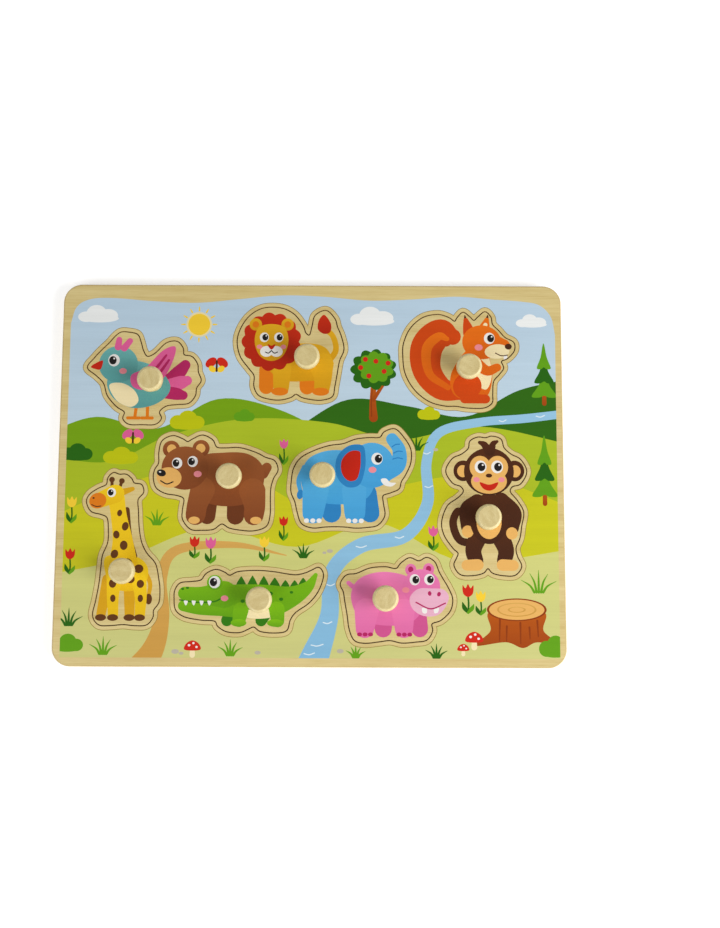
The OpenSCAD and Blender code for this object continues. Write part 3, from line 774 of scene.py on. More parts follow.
def rounded_box(left, right, foot, head, radius):
    """Box with round corners, anticlockwise: a quarter circle about each corner's centre in turn."""
    east, west, north, south = right - radius, left + radius, head - radius, foot + radius
    corners = []
    for k, (x, y) in enumerate(((east, north), (west, north), (west, south), (east, south))):
        turn = np.linspace(0, np.pi / 2, CORNER_STEPS) + k * np.pi / 2
        corners.append(np.stack([x + radius * np.cos(turn), y + radius * np.sin(turn)], 1))
    return np.concatenate(corners)


def print_outline(left, right, foot):
    """The print's edge, anticlockwise: square corners below, and a spline along the waving head."""
    return np.concatenate([[(left, foot), (right, foot)], spline(PRINT_HEAD)])


def inset(loop, depth):
    """The loop moved to its left by the depth.

    Each corner goes along the bisector of its two edges until both have moved that far.
    """
    ahead = np.roll(loop, -1, 0) - loop
    ahead = ahead / np.linalg.norm(ahead, axis=1)[:, None]
    left = np.stack([-ahead[:, 1], ahead[:, 0]], 1)
    left_before = np.roll(left, 1, 0)
    return loop + depth * (left + left_before) / (1 + (left * left_before).sum(1))[:, None]


def winding(points, loop):
    """How often a loop goes round each point.

    Of the edges to the point's right, those that cross its level upwards count 1, and downwards -1.
    """
    a, b = loop, np.roll(loop, -1, 0)
    x, y = points[:, :1], points[:, 1:]
    side = (b[:, 0] - a[:, 0]) * (y - a[:, 1]) - (x - a[:, 0]) * (b[:, 1] - a[:, 1])
    up = (a[:, 1] <= y) & (b[:, 1] > y) & (side > 0)
    down = (a[:, 1] > y) & (b[:, 1] <= y) & (side < 0)
    return up.sum(1) - down.sum(1)


def inside(points, loop):
    """True for the points that a loop goes round, tested only within the loop's box."""
    near = np.flatnonzero(((points > loop.min(0)) & (points < loop.max(0))).all(1))
    found = np.zeros(len(points), bool)
    found[near] = winding(points[near], loop) != 0
    return found


def within(points, loop, reach):
    """True for the points nearer to a loop than the reach, by the distance to each edge's nearest point."""
    near = np.flatnonzero(((points > loop.min(0) - reach) & (points < loop.max(0) + reach)).all(1))
    a, edge = loop, np.roll(loop, -1, 0) - loop
    gap = points[near, None, :] - a
    along = ((gap * edge).sum(2) / (edge * edge).sum(1)).clip(0, 1)
    found = np.zeros(len(points), bool)
    found[near] = (np.linalg.norm(gap - along[:, :, None] * edge, axis=2) < reach).any(1)
    return found


def triangles(loops, links=()):
    """Delaunay triangles over closed loops, and over any further (points, edges), with every edge kept.

    Gives the points, the triangles, which turn anticlockwise, and the triangles' middles.
    """
    points, edges, start = [], [], 0
    for loop in loops:
        index = np.arange(len(loop)) + start
        points.append(loop)
        edges.append(np.stack([index, np.roll(index, -1)], 1))
        start += len(loop)
    for some, pairs in links:
        points.append(some)
        edges.append(pairs + start)
        start += len(some)
    found, _, faces, *_ = delaunay_2d_cdt(
        np.concatenate(points).tolist(), np.concatenate(edges).tolist(), [], 0, LEAST_GAP, False
    )
    found, faces = np.array([p[:] for p in found], np.float32), np.array(faces)
    corner = found[faces].astype(float)
    u, v = corner[:, 1] - corner[:, 0], corner[:, 2] - corner[:, 0]
    clockwise = u[:, 0] * v[:, 1] < u[:, 1] * v[:, 0]
    faces[clockwise] = faces[clockwise][:, ::-1]
    return found, faces, corner.mean(1)


def outer_edges(faces):
    """The directed edges of triangles that no neighbour shares."""
    edges = np.concatenate([faces[:, [0, 1]], faces[:, [1, 2]], faces[:, [2, 0]]])
    size = faces.max() + 1
    return edges[~np.isin(edges[:, 0] * size + edges[:, 1], edges[:, 1] * size + edges[:, 0])]


def joined(edges):
    """Directed edges joined end to end: closed loops of point numbers, the longest first."""
    following = dict(edges.tolist())
    loops = []
    while following:
        loop = [next(iter(following))]
        while loop[-1] in following:
            loop.append(following.pop(loop[-1]))
        loops.append(loop[:-1])
    return sorted(loops, key=len, reverse=True)


def linear(colour):
    """sRGB from 0 to 255 as linear light: a straight toe, then a power of 2.4."""
    c = np.asarray(colour, float) / 255
    return np.where(c <= 0.04045, c / 12.92, ((c + 0.055) / 1.055) ** 2.4)


def inked(points, faces, middles, shapes):
    """Colour and cover at each triangle's corners.

    The ink is that of the last shape that holds the triangle's middle, its fade taken at the corner's height.
    """
    last = np.full(len(faces), -1)
    for k, (_, loop) in enumerate(shapes):
        last[inside(middles, loop)] = k
    head = np.array([linear(INKS[ink][0]) for ink, _ in shapes])
    foot = np.array([linear(INKS[ink][-1]) for ink, _ in shapes])
    high = np.array([loop[:, 1].max() for _, loop in shapes])
    low = np.array([loop[:, 1].min() for _, loop in shapes])
    fade = ((high[last, None] - points[faces][:, :, 1]) / (high - low)[last, None]).clip(0, 1)[:, :, None]
    colour = head[last, None] * (1 - fade) + foot[last, None] * fade
    cover = np.broadcast_to((last >= 0)[:, None, None], fade.shape)
    return np.concatenate([colour, cover], 2)


def cut_edge(top, foot, top_ease, foot_ease):
    """Profile of a cut edge, as (depth into the wood, height) from the top down.

    A quarter round, the straight cut and another quarter round.
    """
    turn = np.linspace(0, np.pi / 2, EASE_STEPS)
    upper = np.stack([top_ease * (1 - np.sin(turn)), top - top_ease * (1 - np.cos(turn))], 1)
    lower = np.stack([foot_ease * (1 - np.cos(turn)), foot + foot_ease * (1 - np.sin(turn))], 1)
    return np.concatenate([upper, lower])


def wall(loop, profile):
    """Profile carried along a loop that has the wood on its left.

    One ring of points for each (depth, height), from the top down.
    """
    rings = [np.column_stack([inset(loop, depth), np.full(len(loop), height)]) for depth, height in profile]
    return np.array(rings, np.float32)


def wall_quads(rings):
    """Points and quads of a wall.

    Each quad runs one step down and one along, so that it faces away from the wood.
    """
    count = rings.shape[1]
    index = np.arange(rings.shape[0] * count).reshape(rings.shape[:2])
    along = np.roll(index, -1, 1)
    quads = np.stack([index[:-1], index[1:], along[1:], along[:-1]], 2).reshape(-1, 4)
    return rings.reshape(-1, 3), quads


def flat(points, height):
    """Points of the plane at a height."""
    return np.column_stack([points, np.full(len(points), height)]).astype(np.float32)


def plain_face(rings, level):
    """Flat face between the walls' rings at one level, 0 for the top and -1 for the underside."""
    loops = [ring[level, :, :2] for ring in rings]
    points, faces, middles = triangles(loops)
    return points, faces[sum(winding(middles, loop) for loop in loops) > 0]


PRINTED, CUT, BARE, EDGE = range(4)


def plywood_piece(name, parts, materials):
    """One closed mesh from parts of (points, faces, finish, smooth, ink).

    Points that parts share are merged, and unused ones are dropped.
    """
    starts = np.cumsum([0] + [len(part[0]) for part in parts])
    every = np.concatenate([part[0] for part in parts])
    used = np.unique(np.concatenate([part[1].ravel() + start for start, part in zip(starts, parts)]))
    points, order = np.unique(every[used], axis=0, return_inverse=True)
    merged = np.zeros(len(every), int)
    merged[used] = order.reshape(-1)
    faces, finish, smooth, ink = [], [], [], []
    for start, (_, some, slot, soft, colours) in zip(starts, parts):
        faces += merged[some + start].tolist()
        finish += [slot] * len(some)
        smooth += [soft] * len(some)
        ink.append(np.zeros((some.size, 4)) if colours is None else colours.reshape(-1, 4))
    mesh = bpy.data.meshes.new(name)
    mesh.from_pydata((points * MM).tolist(), [], faces)
    mesh.polygons.foreach_set("material_index", finish)
    mesh.polygons.foreach_set("use_smooth", smooth)
    layer = mesh.color_attributes.new("ink", "FLOAT_COLOR", "CORNER")
    layer.data.foreach_set("color", np.concatenate(ink).ravel())
    for material in materials:
        mesh.materials.append(material)
    piece = bpy.data.objects.new(name, mesh)
    bpy.context.scene.collection.objects.link(piece)
    return piece


def underside_outline(node):
    """A CAD node's outline, anticlockwise, in millimetres.

    The edges of its underside that only one triangle has, joined end to end.
    """
    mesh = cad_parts[node].data
    mesh.calc_loop_triangles()
    points, faces = np.empty(3 * len(mesh.vertices)), np.empty(3 * len(mesh.loop_triangles), int)
    mesh.vertices.foreach_get("co", points)
    mesh.loop_triangles.foreach_get("vertices", faces)
    points, merged = np.unique(np.round(points.reshape(-1, 3) / MM, PLACES), axis=0, return_inverse=True)
    faces = merged.reshape(-1)[faces].reshape(-1, 3)
    under = faces[(points[faces][:, :, 2] == points[:, 2].min()).all(1)][:, ::-1]
    loops = [points[loop, :2] for loop in joined(outer_edges(under))]
    return max(loops, key=lambda loop: np.ptp(loop, 0).sum())


def placed(figure, slot):
    """A figure's shapes at their slot on the board, at the figure's size."""
    x, y, size = slot
    return [(ink, loop * size + (x, y)) for ink, loop in figure]


def box_mm(node):
    """A CAD node's lowest and highest corners in millimetres."""
    return tuple(np.array(corner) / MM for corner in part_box(node))


def animal_piece(animal, outline, materials):
    """Piece cut from the sheet: eased outline, countersunk screw hole, and the figure printed on its top."""
    low, high = box_mm(f"{animal}_piece")
    screw_low, screw_high = box_mm(f"{animal}_screw")
    middle, head = (screw_low + screw_high) / 2, (screw_high - screw_low)[0] / 2
    shapes = placed(FIGURES[animal](), SLOTS[animal])
    face_loops = [inset(outline, CUT_EASE), oval(middle[0], middle[1], SHANK_HOLE / 2, SHANK_HOLE / 2)[::-1]]
    points, faces, middles = triangles(face_loops + [loop for _, loop in shapes])
    kept = sum(winding(middles, loop) for loop in face_loops) > 0
    faces, middles = faces[kept], middles[kept]

    rim, hole = [points[loop].astype(float) for loop in joined(outer_edges(faces))]
    wider = head - SHANK_HOLE / 2
    seat = low[2] + HEAD_RECESS
    rings = [
        wall(rim, cut_edge(high[2], low[2], CUT_EASE, LOWER_EASE) - (CUT_EASE, 0.0)),
        wall(hole, [(0.0, high[2]), (0.0, seat + wider), (wider, seat), (wider, low[2])]),
    ]
    under_points, under = plain_face(rings, -1)
    parts = [
        (flat(points, high[2]), faces, PRINTED, False, inked(points, faces, middles, shapes)),
        (flat(under_points, low[2]), under[:, ::-1], BARE, False, None),
        *[(*wall_quads(ring), CUT, True, None) for ring in rings],
    ]
    return plywood_piece(f"{animal}_plate", parts, materials)


def front_board(outlines, materials):
    """Front panel: eased outside and a pocket wall round each piece.

    The picture on it leaves bare wood along the edges and round the pockets.
    """
    low, high = box_mm("front_panel")
    outside = rounded_box(low[0], high[0], low[1], high[1], CORNER)
    pockets = [inset(outline, -POCKET_GAP) for outline in outlines]
    rings = [wall(outside, cut_edge(high[2], low[2], OUTER_EASE, SEAM_EASE))]
    rings += [wall(pocket[::-1], cut_edge(high[2], low[2], CUT_EASE, LOWER_EASE)) for pocket in pockets]
    sheet = print_outline(low[0] + BARE_LEFT, high[0] - BARE_RIGHT, low[1] + BARE_FOOT)
    rims = [inset(pocket, -RIM) for pocket in pockets]
    lines = [inset(pocket, -RIM - RIM_LINE) for pocket in pockets]

    shapes = [("sky", sheet)] + board_picture() + [("rim_line", line) for line in lines]
    points, faces, middles = triangles([sheet, *rims] + [loop for _, loop in shapes[1:]])

    def on_print(places):
        near = np.zeros(len(places), bool)
        for pocket in pockets:
            near |= within(places, pocket, RIM) | inside(places, pocket)
        return inside(places, sheet) & ~near

    kept = on_print(middles)
    faces, middles = faces[kept], middles[kept]
    colours = inked(points, faces, middles, shapes)

    border = outer_edges(faces)
    used, border = np.unique(border, return_inverse=True)
    face_loops = [ring[0, :, :2] for ring in rings]
    bare_points, bare, bare_middles = triangles(face_loops, [(points[used], border.reshape(-1, 2))])
    wood = sum(winding(bare_middles, loop) for loop in face_loops) > 0
    bare = bare[wood & ~on_print(bare_middles)]
    under_points, under = plain_face(rings, -1)
    parts = [
        (flat(points, high[2]), faces, PRINTED, False, colours),
        (flat(bare_points, high[2]), bare, PRINTED, False, None),
        (flat(under_points, low[2]), under[:, ::-1], BARE, False, None),
        (*wall_quads(rings[0]), EDGE, True, None),
        *[(*wall_quads(ring), CUT, True, None) for ring in rings[1:]],
    ]
    return plywood_piece("front_board", parts, materials)


def back_board(materials):
    """Back panel: a plain sheet, eased along its lower edge, whose upper face is the floor of the pockets."""
    low, high = box_mm("back_panel")
    outside = rounded_box(low[0], high[0], low[1], high[1], CORNER)
    rings = [wall(outside, cut_edge(high[2], low[2], SEAM_EASE, OUTER_EASE))]
    floor_points, floor_faces = plain_face(rings, 0)
    under_points, under = plain_face(rings, -1)
    parts = [
        (flat(floor_points, high[2]), floor_faces, BARE, False, None),
        (flat(under_points, low[2]), under[:, ::-1], BARE, False, None),
        (*wall_quads(rings[0]), EDGE, True, None),
    ]
    return plywood_piece("back_board", parts, materials)


# Knobs: the source's section, turned

FOOT_ROUND = 0.3
WAIST = (4.8, 3.6)
FOOT_RADIUS = 5.4
RING_HEIGHT = 9.8
SHOULDER = 1.6
SHOULDER_TURN = math.radians(54.0)
FLARE_STEPS = 10
SHOULDER_STEPS = 9
KNOB_SIDES = 72


def turned_knob(animal, turn, material):
    """Surface of revolution: the section's radius and height carried round the axis.

    Fans close the foot and the top. The turn is kept for the grain, so that no two knobs show the same.
    """
    low, high = box_mm(f"{animal}_knob")
    axis, widest, tall = (low + high) / 2, (high - low)[0] / 2, (high - low)[2]
    flare = spline([(FOOT_RADIUS, FOOT_ROUND), WAIST, (widest, RING_HEIGHT)], FLARE_STEPS)
    first = np.pi / 4 - SHOULDER_TURN / 2
    arc = np.linspace(first, first + SHOULDER_TURN, SHOULDER_STEPS)
    bend = SHOULDER / (math.cos(first) - math.cos(first + SHOULDER_TURN))
    inward, rise = math.cos(first) - np.cos(arc), np.sin(arc) - math.sin(first)
    shoulder = np.stack([widest - bend * inward, tall - SHOULDER + bend * rise], 1)
    section = np.concatenate([[(FOOT_RADIUS - FOOT_ROUND, 0.0)], flare, shoulder])
    angle = np.linspace(0, 2 * np.pi, KNOB_SIDES, endpoint=False)
    radius, height = section[:, :1], np.broadcast_to(section[:, 1:], (len(section), KNOB_SIDES))
    rings = np.stack([radius * np.cos(angle), radius * np.sin(angle), height], 2)
    points = np.concatenate([rings.reshape(-1, 3), [(0, 0, 0), (0, 0, tall)]])
    index = np.arange(len(section) * KNOB_SIDES).reshape(-1, KNOB_SIDES)
    beside = np.roll(index, -1, 1)
    quads = np.stack([index[:-1], beside[:-1], beside[1:], index[1:]], 2).reshape(-1, 4)
    foot = np.stack([beside[0], index[0], np.full(KNOB_SIDES, len(points) - 2)], 1)
    top = np.stack([index[-1], beside[-1], np.full(KNOB_SIDES, len(points) - 1)], 1)
    mesh = bpy.data.meshes.new(f"{animal}_turned_knob")
    placed_points = (points + (axis[0], axis[1], low[2])) * MM
    mesh.from_pydata(placed_points.tolist(), [], quads.tolist() + foot.tolist() + top.tolist())
    mesh.polygons.foreach_set("use_smooth", [True] * len(quads) + [False] * 2 * KNOB_SIDES)
    c, s = math.cos(turn), math.sin(turn)
    own = points @ np.array([[c, s, 0], [-s, c, 0], [0, 0, 1]]) - (0, 0, tall)
    mesh.attributes.new("turned", "FLOAT_VECTOR", "POINT").data.foreach_set("vector", own.ravel())
    mesh.materials.append(material)
    knob = bpy.data.objects.new(mesh.name, mesh)
    bpy.context.scene.collection.objects.link(knob)
    return knob


# Materials

UNIT = (0.0, 1.0)
MIX_FACTOR, MIX_FIRST, MIX_SECOND, MIX_RESULT = 0, 6, 7, 2


def plug(tree, socket, value):
    """Fills an input with a value, or links it to an output."""
    if isinstance(value, bpy.types.NodeSocket):
        tree.links.new(value, socket)
    else:
        socket.default_value = value


def add_node(tree, kind, inputs=None, **settings):
    """Adds a node, sets its properties, and fills its named or numbered inputs."""
    node = tree.nodes.new(kind)
    for key, value in settings.items():
        setattr(node, key, value)
    for key, value in (inputs or {}).items():
        plug(tree, node.inputs[key], value)
    return node


def sums(tree, operation, *values):
    """Result of a Math node."""
    return add_node(tree, "ShaderNodeMath", dict(enumerate(values)), operation=operation).outputs[0]


def times(tree, first, second):
    """Product of two values."""
    return sums(tree, "MULTIPLY", first, second)


def plus(tree, first, second):
    """Sum of two values."""
    return sums(tree, "ADD", first, second)


def vectors(tree, operation, first, second):
    """Result of a Vector Math node."""
    return add_node(tree, "ShaderNodeVectorMath", {0: first, 1: second}, operation=operation).outputs[0]


def mixed(tree, factor, first, second, way="MIX"):
    """Colour between two colours."""
    values = {MIX_FACTOR: factor, MIX_FIRST: first, MIX_SECOND: second}
    return add_node(tree, "ShaderNodeMix", values, data_type="RGBA", blend_type=way).outputs[MIX_RESULT]


def ranged(tree, value, source, target):
    """Value moved from one range to another, held at its ends."""
    ends = {"From Min": source[0], "From Max": source[1], "To Min": target[0], "To Max": target[1]}
    return add_node(tree, "ShaderNodeMapRange", {"Value": value, **ends}).outputs["Result"]


def noise(tree, place, scale, detail=2.0, roughness=0.5):
    """Noise from 0 to 1."""
    values = {"Vector": place, "Scale": scale, "Detail": detail, "Roughness": roughness}
    return add_node(tree, "ShaderNodeTexNoise", values).outputs["Fac"]


def stretched(tree, place, scale, turn=(0.0, 0.0, 0.0)):
    """Place turned and stretched, so that a pattern on it runs along the grain."""
    values = {"Vector": place, "Scale": scale, "Rotation": turn}
    return add_node(tree, "ShaderNodeMapping", values).outputs["Vector"]


def bump(tree, height, strength, distance=0.1):
    """Normal from a height, with the distance in millimetres."""
    values = {"Height": height, "Strength": strength, "Distance": distance * MM}
    return add_node(tree, "ShaderNodeBump", values).outputs["Normal"]


def object_place(tree):
    """Object coordinates."""
    return add_node(tree, "ShaderNodeTexCoord").outputs["Object"]


def rgba(colour):
    """sRGB from 0 to 255 as a linear socket colour."""
    return (*linear(colour), 1.0)


def new_material(name):
    """Material with a Principled shader: (material, tree, shader)."""
    material = bpy.data.materials.new(name)
    material.use_nodes = True
    return material, material.node_tree, material.node_tree.nodes["Principled BSDF"]


def new_group(name, inputs, outputs):
    """Empty shader group with named sockets: (tree, what it is given, what it puts out)."""
    tree = bpy.data.node_groups.new(name, "ShaderNodeTree")
    for way, sockets in (("INPUT", inputs), ("OUTPUT", outputs)):
        for label, kind in sockets.items():
            tree.interface.new_socket(label, in_out=way, socket_type=f"NodeSocket{kind}")
    given, out = tree.nodes.new("NodeGroupInput"), tree.nodes.new("NodeGroupOutput")
    return tree, given.outputs, out.inputs


# Wood figure: each noise's scale, the span over which pores open, and the shares in colour and relief
BAND_SCALE, STREAK_SCALE, PORE_SCALE = 0.35, 1.6, 5.5
OPEN_PORE = (0.56, 0.74)
BAND_SHARE, STREAK_SHARE = 0.55, 0.45
FIGURE_SPAN = (0.34, 0.68)
FIGURE_COLOUR, FIGURE_RELIEF = 0.75, 0.3


def wood_figure_group():
    """Group for all the wood: broad bands of growth, softer streaks and dark pores.

    Its Place is already stretched along the grain.
    """
    tree, given, out = new_group(
        "wood_figure",
        {"Place": "Vector", "Pale": "Color", "Dark": "Color", "Pore Depth": "Float"},
        {"Colour": "Color", "Height": "Float", "Figure": "Float"},
    )
    bands = noise(tree, given["Place"], BAND_SCALE, detail=2.0, roughness=0.45)
    streaks = noise(tree, given["Place"], STREAK_SCALE, detail=3.0, roughness=0.6)
    specks = noise(tree, given["Place"], PORE_SCALE, detail=2.0, roughness=0.55)
    pores = ranged(tree, specks, OPEN_PORE, UNIT)
    figure = plus(tree, times(tree, bands, BAND_SHARE), times(tree, streaks, STREAK_SHARE))
    shade = ranged(tree, figure, FIGURE_SPAN, UNIT)
    darkness = plus(tree, times(tree, shade, FIGURE_COLOUR), times(tree, pores, given["Pore Depth"]))
    plug(tree, out["Colour"], mixed(tree, darkness, given["Pale"], given["Dark"]))
    plug(tree, out["Height"], sums(tree, "SUBTRACT", times(tree, shade, FIGURE_RELIEF), pores))
    plug(tree, out["Figure"], shade)
    return tree


WOOD_FIGURE = wood_figure_group()


def figured(tree, place, pale, dark, pore_depth):
    """The wood group, placed in a material with its own values."""
    values = {"Place": place, "Pale": pale, "Dark": dark, "Pore Depth": pore_depth}
    return add_node(tree, "ShaderNodeGroup", values, node_tree=WOOD_FIGURE).outputs


# Face veneer and its print: grain along the board, the ink's strength over dark grain, and the gloss
ALONG_X = (22.0, 620.0, 620.0)
BIRCH_PALE, BIRCH_DARK = rgba((222, 203, 144)), rgba((196, 171, 106))
INK_OVER_DARK = 0.93
INK_ROUGHNESS = (0.44, 0.54)
BARE_ROUGHER = 0.12
INK_SPECULAR = 0.15


def printed_birch():
    """Birch face veneer under satin ink.

    The mesh's ink layer covers the wood, and the grain shows through it a little.
    """
    material, tree, shader = new_material("printed_birch")
    place = object_place(tree)
    wood = figured(tree, stretched(tree, place, ALONG_X), BIRCH_PALE, BIRCH_DARK, pore_depth=0.35)
    ink = add_node(tree, "ShaderNodeAttribute", attribute_name="ink").outputs
    veil = ranged(tree, wood["Figure"], UNIT, (1.0, INK_OVER_DARK))
    sunk = mixed(tree, 1.0, ink["Color"], veil, "MULTIPLY")
    plug(tree, shader.inputs["Base Color"], mixed(tree, ink["Alpha"], wood["Colour"], sunk))
    satin = ranged(tree, noise(tree, place, 900.0, detail=3.0), (0.3, 0.7), INK_ROUGHNESS)
    bare = times(tree, sums(tree, "SUBTRACT", 1.0, ink["Alpha"]), BARE_ROUGHER)
    plug(tree, shader.inputs["Roughness"], plus(tree, satin, bare))
    plug(tree, shader.inputs["Normal"], bump(tree, wood["Height"], strength=0.12))
    shader.inputs["Specular IOR Level"].default_value = INK_SPECULAR
    return material


# Plywood edge: a veneer's thickness and the height at which the two sheets meet, in millimetres,
# with the glue line's share of a veneer and how far it covers the wood
VENEER = 1.0
SHEET_SEAM = 3.0
GLUE_LINE = 0.07
GLUE_COVER = 0.7
LONG_GRAIN, END_GRAIN = (260.0, 260.0, 2600.0), (2200.0, 2200.0, 700.0)
PLY_RELIEF = (-1.0, 0.4)
PORES_ROUGHER = 0.15


def ply_layers_group():
    """Group for plywood edges: in each sheet, veneers of long and end grain in turn by height.

    Thin glue lines lie between them.
    """
    tree, given, out = new_group(
        "ply_layers",
        {"Place": "Vector", "Pale": "Color", "Dark": "Color", "Glue": "Color"},
        {"Colour": "Color", "Height": "Float"},
    )
    place, pale, dark, glue = (given[name] for name in ("Place", "Pale", "Dark", "Glue"))
    height = times(tree, add_node(tree, "ShaderNodeSeparateXYZ", {"Vector": place}).outputs["Z"], 1.0 / MM)
    upper_sheet = sums(tree, "GREATER_THAN", height, SHEET_SEAM)
    layer = sums(tree, "DIVIDE", height, VENEER)
    end = sums(tree, "MODULO", plus(tree, sums(tree, "FLOOR", layer), upper_sheet), 2.0)
    long_wood = figured(tree, stretched(tree, place, LONG_GRAIN), pale, dark, pore_depth=0.3)
    end_pale, end_dark = mixed(tree, 0.5, pale, dark), mixed(tree, 0.5, dark, glue)
    end_wood = figured(tree, stretched(tree, place, END_GRAIN), end_pale, end_dark, pore_depth=0.6)
    part = sums(tree, "FRACT", layer)
    from_line = sums(tree, "MINIMUM", part, sums(tree, "SUBTRACT", 1.0, part))
    line = ranged(tree, from_line, (0.0, GLUE_LINE), (GLUE_COVER, 0.0))
    wood = mixed(tree, end, long_wood["Colour"], end_wood["Colour"])
    plug(tree, out["Colour"], mixed(tree, line, wood, glue))
    plug(tree, out["Height"], mixed(tree, end, long_wood["Height"], end_wood["Height"]))
    return tree


PLY_LAYERS = ply_layers_group()


def layered_ply(name, pale, dark, glue, roughness, relief):
    """Plywood edge in its own colours: rougher in the end grain's pores."""
    material, tree, shader = new_material(name)
    values = {"Place": object_place(tree), "Pale": rgba(pale), "Dark": rgba(dark), "Glue": rgba(glue)}
    layers = add_node(tree, "ShaderNodeGroup", values, node_tree=PLY_LAYERS).outputs
    rough = ranged(tree, layers["Height"], PLY_RELIEF, (roughness + PORES_ROUGHER, roughness))
    plug(tree, shader.inputs["Base Color"], layers["Colour"])
    plug(tree, shader.inputs["Roughness"], rough)
    plug(tree, shader.inputs["Normal"], bump(tree, layers["Height"], relief))
    return material


SANDED_PALE, SANDED_DARK = rgba((218, 196, 138)), rgba((190, 160, 100))
SANDED_ROUGHNESS = (0.56, 0.68)


def bare_ply():
    """Sanded birch veneer without print, for the undersides and the floors of the pockets."""
    material, tree, shader = new_material("bare_ply")
    grain = stretched(tree, object_place(tree), ALONG_X)
    wood = figured(tree, grain, SANDED_PALE, SANDED_DARK, pore_depth=0.5)
    plug(tree, shader.inputs["Base Color"], wood["Colour"])
    plug(tree, shader.inputs["Roughness"], ranged(tree, wood["Figure"], UNIT, SANDED_ROUGHNESS))
    plug(tree, shader.inputs["Normal"], bump(tree, wood["Height"], strength=0.2))
    return material


# Knob wood: grain and colours of side and top, and the lathe's marks, in the knob's own millimetres
SIDE_GRAIN, TOP_GRAIN = (1.1, 1.1, 0.05), (0.9, 0.34, 0.05)
# The side's colours are paler than the top's: partly side grain against end grain, partly painted light on
# the shoulder
SIDE_PALE_WITH_PAINTED_LIGHT, SIDE_DARK_WITH_PAINTED_LIGHT = rgba((234, 219, 166)), rgba((210, 188, 128))
TOP_PALE, TOP_DARK = rgba((220, 203, 147)), rgba((190, 167, 106))
TOP_EDGE = 0.2
APART = (300.0, 300.0, 0.0)
TURNING_PITCH = 1.1
MARK_BROWN = rgba((150, 122, 70))
MARK_STAIN = 0.14
KNOB_ROUGHNESS = (0.4, 0.5)


def turned_wood():
    """Pale knob wood under turning marks.

    The grain stands along the axis, so that the side shows streaks and the top darker flecks. The side is
    also painted paler than the top, a painted highlight on the shoulder ring.
    Each knob's place on the board moves the grain, so that every knob is cut from other wood.
    """
    material, tree, shader = new_material("turned_wood")
    own = add_node(tree, "ShaderNodeAttribute", attribute_name="turned").outputs["Vector"]
    moved = vectors(tree, "ADD", own, vectors(tree, "MULTIPLY", object_place(tree), APART))
    side = figured(tree, stretched(tree, moved, SIDE_GRAIN), SIDE_PALE_WITH_PAINTED_LIGHT, SIDE_DARK_WITH_PAINTED_LIGHT, pore_depth=0.2)
    end = figured(tree, stretched(tree, moved, TOP_GRAIN), TOP_PALE, TOP_DARK, pore_depth=0.4)
    parts = add_node(tree, "ShaderNodeSeparateXYZ", {"Vector": own}).outputs
    on_top = ranged(tree, parts["Z"], (-TOP_EDGE, 0.0), UNIT)
    squares = [times(tree, parts[axis], parts[axis]) for axis in ("X", "Y")]
    radius = sums(tree, "SQRT", plus(tree, *squares))
    run = times(tree, sums(tree, "SUBTRACT", parts["Z"], radius), 2.0 * math.pi / TURNING_PITCH)
    patches = ranged(tree, noise(tree, own, 0.5), (0.35, 0.65), UNIT)
    marks = times(tree, sums(tree, "SINE", run), patches)
    # Top against side: darker end grain on top, and a side whose paler colour is partly painted light
    wood = mixed(tree, on_top, side["Colour"], end["Colour"])
    stain = ranged(tree, marks, UNIT, (0.0, MARK_STAIN))
    plug(tree, shader.inputs["Base Color"], mixed(tree, stain, wood, MARK_BROWN))
    plug(tree, shader.inputs["Roughness"], ranged(tree, side["Figure"], UNIT, KNOB_ROUGHNESS))
    plug(tree, shader.inputs["Normal"], bump(tree, plus(tree, side["Height"], marks), strength=0.05))
    return material


ZINC_PALE, ZINC_BLUE = rgba((206, 208, 208)), rgba((168, 176, 182))
ZINC_ROUGHNESS = (0.26, 0.42)
SCRATCHES = (9000.0, 900.0, 9000.0)
SCRATCH_TURN = (0.0, 0.0, 0.6)


def plated_steel():
    """Zinc-plated screw: bright metal with a faint blue-grey mottle and fine scratches from the driver."""
    material, tree, shader = new_material("plated_steel")
    place = object_place(tree)
    mottle = noise(tree, place, 1400.0, detail=4.0, roughness=0.6)
    scratch = noise(tree, stretched(tree, place, SCRATCHES, SCRATCH_TURN), 1.0)
    plug(tree, shader.inputs["Base Color"], mixed(tree, mottle, ZINC_PALE, ZINC_BLUE))
    plug(tree, shader.inputs["Roughness"], ranged(tree, scratch, (0.3, 0.7), ZINC_ROUGHNESS))
    plug(tree, shader.inputs["Normal"], bump(tree, scratch, strength=0.1, distance=0.05))
    shader.inputs["Metallic"].default_value = 1.0
    return material


# The object: the plywood's materials stand in the order of PRINTED, CUT, BARE and EDGE

CUT_COLOURS = {"pale": (196, 162, 104), "dark": (150, 112, 64), "glue": (96, 66, 36)}
EDGE_COLOURS = {"pale": (224, 203, 148), "dark": (200, 172, 112), "glue": (158, 126, 78)}
PLYWOOD = [
    printed_birch(),
    layered_ply("cut_ply", **CUT_COLOURS, roughness=0.62, relief=0.35),
    bare_ply(),
    layered_ply("sanded_edge", **EDGE_COLOURS, roughness=0.55, relief=0.2),
]
KNOB_WOOD = turned_wood()
STEEL = plated_steel()
GOLDEN_ANGLE = math.radians(137.5)

outlines = {
    animal: spline(underside_outline(f"{animal}_piece"), OUTLINE_FINER, closed=True) for animal in SLOTS
}

board = front_board(list(outlines.values()), PLYWOOD)
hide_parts("front_panel")
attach(board, "board")

back = back_board(PLYWOOD)
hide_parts("back_panel")
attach(back, "board")

for number, (animal, outline) in enumerate(outlines.items()):
    piece = animal_piece(animal, outline, PLYWOOD)
    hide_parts(f"{animal}_piece")
    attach(piece, animal)
    knob = turned_knob(animal, number * GOLDEN_ANGLE, KNOB_WOOD)
    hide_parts(f"{animal}_knob")
    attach(knob, animal)
    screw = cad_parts[f"{animal}_screw"]
    screw.data.materials.clear()
    screw.data.materials.append(STEEL)


# Studio, in metres and watts: white floor and surroundings,
# a soft key from the front right and a weaker fill from the front left

